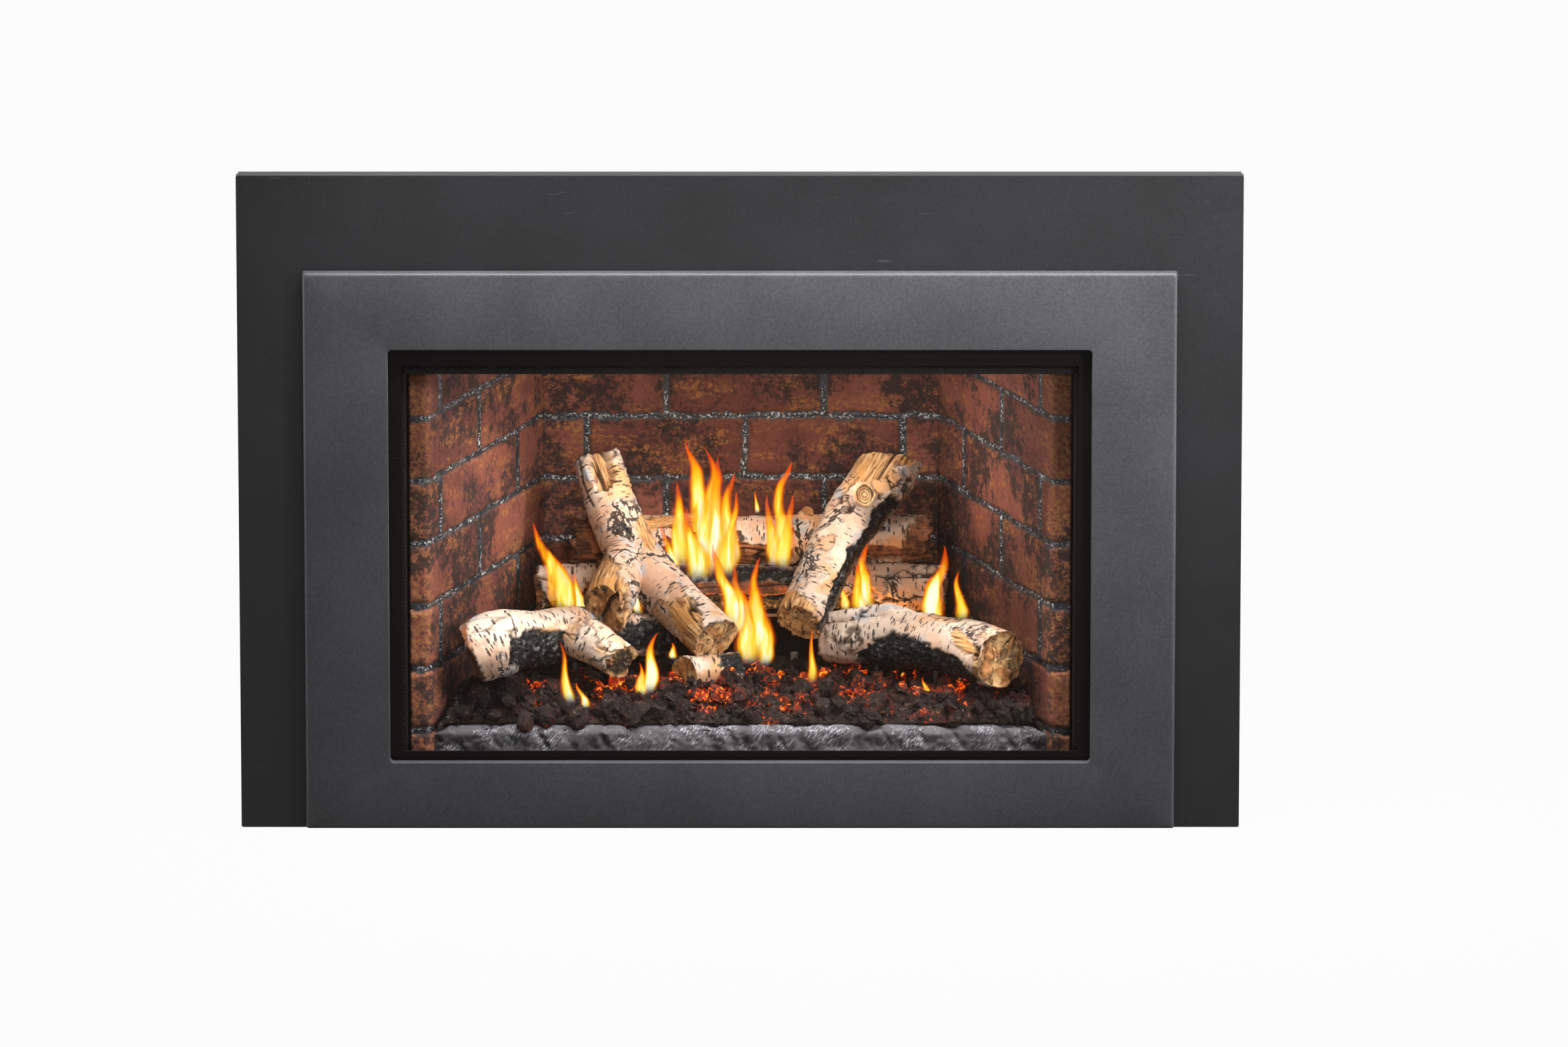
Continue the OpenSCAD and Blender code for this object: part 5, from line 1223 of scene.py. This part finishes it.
# %% Front rail
def front_rail():
    """The rail's section is run along x; its ends are rounded, its face is chiselled."""
    section = np.array([(-163.5, 66), (-163.5, 72), (-163.6, 80), (-163.2, 88), (-161.5, 91),
                        (-157.5, 95.2), (-153, 96.8), (-148, 97), (-142.5, 97)], float)
    at = lengths(section)
    yz = resampled(section, at, np.linspace(0, at[-1], 34))
    x = np.linspace(-1, 1, 320)
    grid = np.zeros((len(yz), len(x), 3))
    reach = wall_half(yz[:, 0:1]) - 1.2
    grid[..., 0], grid[..., 1], grid[..., 2] = x * reach, yz[:, 0:1], yz[:, 1:2]
    slant = grid + 0.6 * grid[..., 2:] * [1, 0, 0] - 0.6 * grid[..., :1] * [0, 0, 1]
    cuts = np.maximum(rough(slant * [1, 1, 0.35], 9, 91, 2), 0) * 2.6 + 0.8 * rough(grid, 4, 93, 2)
    lumps = 2.0 * rough(grid, 24, 95, 2) + cuts
    corner = ease(np.abs(x), 0.925, 1.0) ** 2
    inside = np.clip(lumps + 0.6, 0, 4.5)
    fade_in = np.minimum(np.arange(len(yz)) / 3.0, 1)[:, None]
    inside = inside * (fade_in * fade_in[::-1])
    steep = yz[:, 1:2] < 92
    grid[..., 1] += inside * np.where(steep, 1.0, 0.4) + 9 * corner * (yz[:, 0:1] < -150)
    grid[..., 2] -= inside * np.where(steep, 0.0, 0.9) + 7 * corner * ease(yz[:, 1:2], 80, 97)
    low, high = grid[0].copy(), grid[-1].copy()
    low[:, 1], low[:, 2] = -142.5, 66
    high[:, 1], high[:, 2] = -142.5, grid[-1][:, 2]
    points, faces = slab(grid, low, high)
    return solid("ember_rail", points, faces, slot="ember_rail_ceramic")


put(front_rail(), "ember_front_strip")

# %% [markdown]
# ## Flames
# A flame has no surface, but a closed lens of faint colour reads well: its edge is orange and thin,
# its middle yellow and nearly white. Each tongue follows a bent line from its base to its tip. Its
# own UV map says how far a point is from that line and how high it is, and the paint follows that.

# %% Flame tongues
FLAMES = [  # depth behind the face, tip x and z, base x and z, width, bend
    (150, -206, 286, -180, 188, 42, 6), (172, -192, 244, -172, 186, 34, -4),
    (160, -170, 232, -164, 186, 22, 3), (170, -110, 232, -102, 182, 20, -9),
    (170, -90, 212, -86, 186, 15, 2), (255, -50, 348, -40, 212, 44, 7),
    (252, -34, 341, -32, 206, 46, -6), (250, -22, 332, -28, 204, 44, 6), (248, -8, 316, -18, 204, 42, 6),
    (246, -66, 306, -60, 212, 38, -5), (242, -52, 280, -44, 200, 44, 5),
    (246, -2, 296, -16, 202, 36, -6), (244, -80, 262, -70, 206, 26, 4), (150, -24, 264, -6, 168, 38, 6),
    (150, 8, 220, 4, 166, 32, -5), (148, -4, 244, 4, 160, 30, 7), (122, 20, 256, 14, 142, 42, 6),
    (120, 4, 222, 10, 142, 36, -6), (124, 30, 200, 24, 140, 26, 4), (250, 46, 326, 40, 214, 40, 7),
    (248, 54, 292, 44, 210, 34, -5), (252, 30, 292, 34, 212, 30, 3), (280, 16, 290, 17, 264, 12, 1),
    (200, 130, 252, 128, 178, 36, 4), (198, 120, 230, 124, 176, 32, -3),
    (200, 104, 212, 108, 180, 20, 2), (150, 205, 262, 198, 180, 34, -6),
    (150, 195, 230, 196, 178, 28, 4), (160, 224, 233, 226, 178, 22, 4),
    (60, -186, 182, -172, 116, 20, -6), (60, -166, 140, -158, 112, 16, 3),
    (70, -84, 190, -96, 124, 26, 8), (72, -102, 158, -100, 122, 18, -3),
    (100, -71, 172, -68, 154, 13, -2), (100, 73, 186, 73, 127, 15, 1), (92, 186, 136, 192, 116, 14, 2)]


def tongue(number, depth, tip_x, tip_z, base_x, base_z, width, bend):
    rows, across = 34, 11
    t = np.linspace(0, 1, rows)
    lean, tall = tip_x - base_x, tip_z - base_z
    wild = rough(np.stack([t * 0 + number * 9, t * 0, t * tall], -1), 34, 5, 2)
    x = base_x + lean * t ** 1.3 + 0.16 * width * wild * t
    x += bend * np.sin(t * 5.2 + 0.4) * t ** 0.6 * (1 - t) ** 0.3
    z = base_z + tall * t
    wide = width / 2 * (0.55 + 0.45 * np.sin(np.pi / 2 * np.minimum(t / 0.26, 1))) * (1 - t) ** 0.85
    wide = np.maximum(wide * (1 + 0.22 * wild), 0.12)
    points, uv_at = [], []
    u = np.linspace(-1, 1, across)
    for k in range(rows):
        for face, span in ((-1, u), (1, u[::-1][1:-1])):
            for v in span:
                y = FACE + depth + face * 0.3 * wide[k] * (1 - v * v) ** 0.5
                points.append((x[k] + v * wide[k], y, z[k]))
                uv_at.append((v, t[k]))
    ring = 2 * across - 2
    faces = grid_faces(rows, ring, closed=True).tolist()
    faces += [list(range(ring))[::-1], list(range((rows - 1) * ring, rows * ring))]
    return points, faces, [uv_at[k] for face in faces for k in face], {}


def flame_paint(here):
    u, v = node("ShaderNodeSeparateXYZ", {0: node("ShaderNodeUVMap", uv_map="UVMap")[0]})[:2]
    wisp = cloud(stretched(here, 1, 1, 0.3), 11, 3.0)
    streak = patches(stretched(here, 1, 1, 0.16), 5.5, 3.0, 0.40, 0.62)
    side = plus(calc("ABSOLUTE", u), times(minus(wisp, 0.5), 0.9))
    tall = between(v, 1.05, 0.30)
    core = times(between(side, 0.95, 0.12), tall)
    core = times(core, between(streak, 0.0, 1.0, 0.52, 1.0))
    shape = times(between(side, 1.02, 0.38), between(v, 0.0, 0.34))
    colour = mixed(between(core, 0.02, 0.34), rgb(246, 78, 0), rgb(255, 176, 8))
    colour = mixed(between(core, 0.28, 0.62), colour, rgb(255, 232, 84))
    bright = times(between(core, 0.45, 0.95), plus(times(streak, 0.7), 0.3))
    colour = mixed(bright, colour, rgb(255, 255, 214))
    low = between(v, 0.12, 0.0)
    colour = mixed(times(low, 0.7), colour, rgb(84, 70, 230))
    thick = plus(times(core, 0.8), times(streak, 0.2))
    alpha = times(shape, between(thick, 0.0, 0.6, 0.30, 0.97))
    return {"Emission Color": colour, "Alpha": alpha}


finish("flame", "flame_light", flame_paint, Base_Color=(0, 0, 0, 1), Emission_Strength=1.35,
       Roughness=1.0, Specular_IOR_Level=0.0)
fire = solid("flames", *merged(tongue(number, *row) for number, row in enumerate(FLAMES))[:3])
fire.data.materials.append(FINISH["flame"])
fire.visible_shadow = False
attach(fire, "root")
print("flame tongues:", len(FLAMES))

# %% [markdown]
# ## Face frame
# The removable face is one sheet, folded back at its outer edges and at the opening. Lofting rounded
# rectangles gives the true bends: a wide one outside, which catches the light as a thin bright line,
# and a tight one round the opening. Four sockets behind it slip over pins on the flange.

# %% Lofted face
STEPS, RUN_UP, RUN_ACROSS = 6, 24, 40  # points round a corner and along the straight sides


def rounded(half, low, high, corner, y):
    """A rounded rectangle in the x, z plane, always with the same number of points."""
    points = []
    for sx, sz, start in ((1, -1, -90), (1, 1, 0), (-1, 1, 90), (-1, -1, 180)):
        cx, cz = sx * (half - corner), (high - corner if sz > 0 else low + corner)
        for k in range(STEPS + 1):
            a = math.radians(start + 90 * k / STEPS)
            points.append((cx + corner * math.cos(a), cz + corner * math.sin(a)))
    full = []
    for k, p in enumerate(points):
        q = points[(k + 1) % len(points)]
        full.append(p)
        if k % (STEPS + 1) == STEPS:
            count = RUN_ACROSS if (k // (STEPS + 1)) % 2 else RUN_UP
            full += [(p[0] + (q[0] - p[0]) * n / count, p[1] + (q[1] - p[1]) * n / count)
                     for n in range(1, count)]
    return [(x, y, z) for x, z in full]


OPEN_W, OPEN_LOW, OPEN_HIGH = 711.5, 71.0, 500.0
SHEET, BEND, TIGHT = 2.0, 4.2, 1.4  # the sheet's thickness, the outer and the inner bend
FIX_X = 424.0  # the sockets stand this far to each side


def face_frame():
    low, high = [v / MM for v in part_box("face_frame")[0]], [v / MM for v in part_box("face_frame")[1]]
    wide, bottom, top, front = high[0], low[2], high[2], low[1]
    rear, inner_rear = min(high[1], front + 12.0), front + 9.0

    def outer(off, corner, y):
        return rounded(wide - off, bottom + off, top - off, corner, y)

    def inner(off, corner, y):
        return rounded(OPEN_W / 2 + off, OPEN_LOW - off, OPEN_HIGH + off, corner, y)

    loops = [outer(0, 2.0, rear), outer(0, 2.0, front + BEND)]
    for k in range(1, 7):
        a = math.pi / 2 * k / 6
        off = BEND * (1 - math.cos(a))
        loops.append(outer(off, 2.2 + off * 0.4, front + BEND * (1 - math.sin(a))))
    for k in range(6):
        a = math.pi / 2 * k / 5
        off = TIGHT * (1 - math.sin(a))
        loops.append(inner(off, 4.0 + off, front + TIGHT * (1 - math.cos(a))))
    loops += [inner(0, 4.0, inner_rear), inner(SHEET, 6.0, inner_rear), inner(SHEET, 6.0, front + SHEET),
              outer(SHEET, 1.0, front + SHEET), outer(SHEET, 1.0, rear)]
    ring = len(loops[0])
    points = [p for loop in loops for p in loop]
    faces = grid_faces(len(loops), ring, closed=True).tolist()
    last = (len(loops) - 1) * ring
    faces += [[last + k, last + (k + 1) % ring, (k + 1) % ring, k] for k in range(ring)]
    for sx in (-1, 1):
        for z in (60.0, 520.0):
            first, turn = len(points), np.arange(32) / 32 * 2 * np.pi
            for radius, y in ((7.0, 1.6), (7.0, 11.9), (4.05, 11.9), (4.05, 2.2)):
                points += [(sx * FIX_X + radius * math.cos(a), front + y, z + radius * math.sin(a))
                           for a in turn]
            faces += grid_faces(4, 32, first=first, closed=True).tolist()
            faces += [list(range(first, first + 32)), list(range(first + 96, first + 128))]
    made = solid("grey_face", points, faces, slot="face_grey")
    with reshaped(made.data) as shell:
        for line in shell.edges:
            if len(line.link_faces) == 2 and line.calc_face_angle() > SHARP:
                line.smooth = False
    return made


put(face_frame(), "face_frame")

# %% [markdown]
# ## Softened edges
# Real sheet and castings have no knife edges. For the mechanical pieces it is enough to copy the
# frame's mesh, merge its loose triangles and round the sharp edges a little with a Bevel modifier.

# %% Softened copies
def soften(name, width_mm):
    """Copies one CAD node, rounds its sharp edges and lets the copy stand for it."""
    mesh = NODES[name].data.copy()
    mesh.name = name + "_soft"
    made = placed(name + "_soft", mesh)
    with reshaped(mesh) as shell:
        bmesh.ops.remove_doubles(shell, verts=shell.verts, dist=1e-5)
        bmesh.ops.dissolve_limit(shell, angle_limit=math.radians(1.0), verts=shell.verts, edges=shell.edges)
        for face in shell.faces:
            face.smooth = True
        for line in shell.edges:
            line.smooth = len(line.link_faces) == 2 and line.calc_face_angle() < SHARP
    mesh.materials.clear()
    mesh.materials.append(FINISH[SLOT_OF[name]])
    round_off = made.modifiers.new("rounded edges", "BEVEL")
    round_off.width, round_off.segments = width_mm * MM, 2
    round_off.limit_method, round_off.angle_limit = "ANGLE", SHARP
    round_off.use_clamp_overlap, round_off.harden_normals = True, False
    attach(made, BODY_OF[name])
    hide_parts(name)


SOFT = {"surround_panel": 0.6, "casing_flange": 0.3, "gas_valve": 0.8, "junction_box": 0.8,
        "blower_housing": 0.5, "blower_motor": 0.6, "control_panel": 0.3, "pilot_knob": 0.5,
        "flame_knob": 0.5, "blower_knob": 0.5,
        "igniter_button": 0.5, "burner_switch": 0.4, "shutoff_valve": 0.4, "shutoff_handle": 0.6,
        "exhaust_collar": 0.25, "intake_collar": 0.25, "glass_frame": 0.35, "control_bodies": 0.4}
for name, width in SOFT.items():
    soften(name, width)
print("softened:", len(SOFT))

# %% [markdown]
# ## Pieces kept as they are
# Everything else already has its true shape. Each one only needs its finish in place of the plain
# colour that it came with.

# %% Paint the frame's own pieces
for name, piece in NODES.items():
    for place in piece.material_slots:
        place.material = FINISH[SLOT_OF[name]]
print("painted", len(NODES), "frame pieces")

# %% [markdown]
# ## Rivets on the casing
# The casing's rear sheet is held by flat blind rivets down its two edges. They repeat at an even
# pitch along a line, which is what Geometry Nodes are good at.

# %% Rivet rows
def rivet_tree():
    tree, come, leave, sockets = new_group(
        "rivet_row", "GeometryNodeTree",
        {"Row": ("Geometry", None), "Pitch": ("Float", None), "Radius": ("Float", None),
         "Height": ("Float", None), "Finish": ("Material", None)}, {"Rivets": "Geometry"})
    line = node("GeometryNodeMeshToCurve", {0: come["Row"]})[0]
    spots = node("GeometryNodeCurveToPoints", {"Curve": line, "Length": come["Pitch"]}, mode="LENGTH")[0]
    head = node("GeometryNodeMeshUVSphere", {"Segments": 14, "Rings": 8, "Radius": 1.0})[0]
    size = node("ShaderNodeCombineXYZ", {0: come["Radius"], 1: come["Height"], 2: come["Radius"]})[0]
    instances(spots, head, come, leave, Scale=size)
    return tree, sockets


rear_low, rear_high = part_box("casing_rear")
rows = []
for x in (rear_low.x + 0.012, rear_high.x - 0.012):
    rows += [(x, rear_high.y - 0.0002, z) for z in (rear_low.z + 0.03, rear_high.z - 0.03)]
row_mesh = bpy.data.meshes.new("rivet_lines")
row_mesh.from_pydata(rows, [(0, 1), (2, 3)], [])
guide = placed("rivet_lines", row_mesh)
heads = grown(guide, *rivet_tree(), "casing_rivets", Pitch=0.062, Radius=0.0032, Height=0.0014,
              Finish=FINISH["collar_aluminium"])
bpy.data.objects.remove(guide)
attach(heads, "root")
print("rivets:", len(heads.data.polygons), "faces")

# %% [markdown]
# ## Floor, camera and light
# A studio look: white floor and backdrop, a long narrow lamp just above the front, so that the top of
# the face is brighter than its foot, a soft lamp to the right, a weak one by the camera, one aimed
# into the firebox, and one at each side that draws the bright line down the bend. Inside, small
# lamps light the side brick and the logs, and a low orange one gives the glow of the fire.

# %% Floor and backdrop
def seen_mask():
    """1 for rays of the camera, direct, mirrored or through glass, and 0 for the light they bring."""
    ray = node("ShaderNodeLightPath")
    return most(most(ray["Is Camera Ray"], ray["Is Glossy Ray"]), ray["Is Transmission Ray"])


floor_mesh = bpy.data.meshes.new("floor")
floor_mesh.from_pydata([(-6, -8, 0), (6, -8, 0), (6, 6, 0), (-6, 6, 0)], [], [(0, 1, 2, 3)])
floor = placed("floor", floor_mesh)
paper = bpy.data.materials.new("white_paper")
paper.use_nodes = True
GRAPH.append(paper.node_tree)
shader = paper.node_tree.nodes["Principled BSDF"]
shader.inputs["Base Color"].default_value = (0.1, 0.1, 0.1, 1)
shader.inputs["Roughness"].default_value = 0.9
white = node("ShaderNodeEmission", {"Color": (1, 1, 1, 1), "Strength": 1.0})[0]
both = node("ShaderNodeMixShader", {0: times(seen_mask(), 0.97), 1: shader.outputs[0], 2: white})[0]
GRAPH.pop().links.new(both, paper.node_tree.nodes["Material Output"].inputs["Surface"])
floor_mesh.materials.append(paper)

world = bpy.data.worlds.new("studio")
bpy.context.scene.world = world
world.use_nodes = True
GRAPH.append(world.node_tree)
back = world.node_tree.nodes["Background"].inputs
GRAPH[-1].links.new(between(seen_mask(), 0.0, 1.0, 0.06, 1.0), back["Strength"])
back["Color"].default_value = (1, 1, 1, 1)
GRAPH.pop()
print("floor and backdrop are white")


# %% Lamps
def lamp(name, place, aim, size, power, colour=(1, 1, 1), spread=180):
    data = bpy.data.lights.new(name, "AREA")
    data.shape, data.size, data.size_y = "RECTANGLE", size[0], size[1]
    data.energy, data.color, data.spread = power, colour, math.radians(spread)
    made = placed(name, data)
    made.location = place
    made.rotation_euler = (Vector(aim) - Vector(place)).to_track_quat("-Z", "Y").to_euler()
    made.visible_camera = False


lamp("key_above", (0.20, -0.320, 0.91), (0.20, -0.341, 0.51), (1.35, 0.08), 11, spread=90)
lamp("soft_right", (1.9, -1.5, 1.35), (0.46, -0.21, 0.64), (0.4, 0.4), 4.4, spread=36)
lamp("by_camera", (0.9, -2.8, 1.3), (0.0, 0.0, 0.3), (1.2, 0.8), 1.2)
lamp("into_the_firebox", (0.2, -1.95, 0.78), (0.0, 0.0, 0.30), (0.46, 0.12), 0.20, (1.0, 0.98, 0.95), 16)
for side in (-1, 1):
    lamp("on_the_side_brick", (0.03 * side, -0.10, 0.44), (0.29 * side, -0.04, 0.30), (0.12, 0.05), 0.26,
         (1.0, 0.97, 0.93), 110)
    lamp("along_the_edge", (2.2 * side, -0.30, 0.5), (0.45 * side, -0.21, 0.40), (0.2, 0.9), 30)
lamp("light_of_the_fire", (-0.01, 0.015, 0.135), (0.0, 0.12, 0.30), (0.34, 0.03), 0.34,
     (1.0, 0.42, 0.12), 130)
lamp("above_the_flames", (0.0, -0.10, 0.458), (0.0, 0.04, 0.2), (0.34, 0.05), 0.48, (1.0, 0.94, 0.86), 140)

# %% Camera
tilt, away = math.radians(13.4), 14.0
target = Vector((0.0446, -0.2125, 0.3207))
view = bpy.data.cameras.new("camera")
view.lens, view.sensor_width, view.clip_end = 317.4, 36.0, 60.0
camera = placed("camera", view)
camera.location = target + Vector((0, -math.cos(tilt), math.sin(tilt))) * away
camera.rotation_euler = (target - camera.location).to_track_quat("-Z", "Y").to_euler()
bpy.context.scene.camera = camera
bpy.context.scene.view_settings.view_transform = "Standard"
print("camera at", [round(v, 3) for v in camera.location])

# %% [markdown]
# ## Done
# The view layer is brought up to date at the end.

# %% Update
bpy.context.view_layer.update()
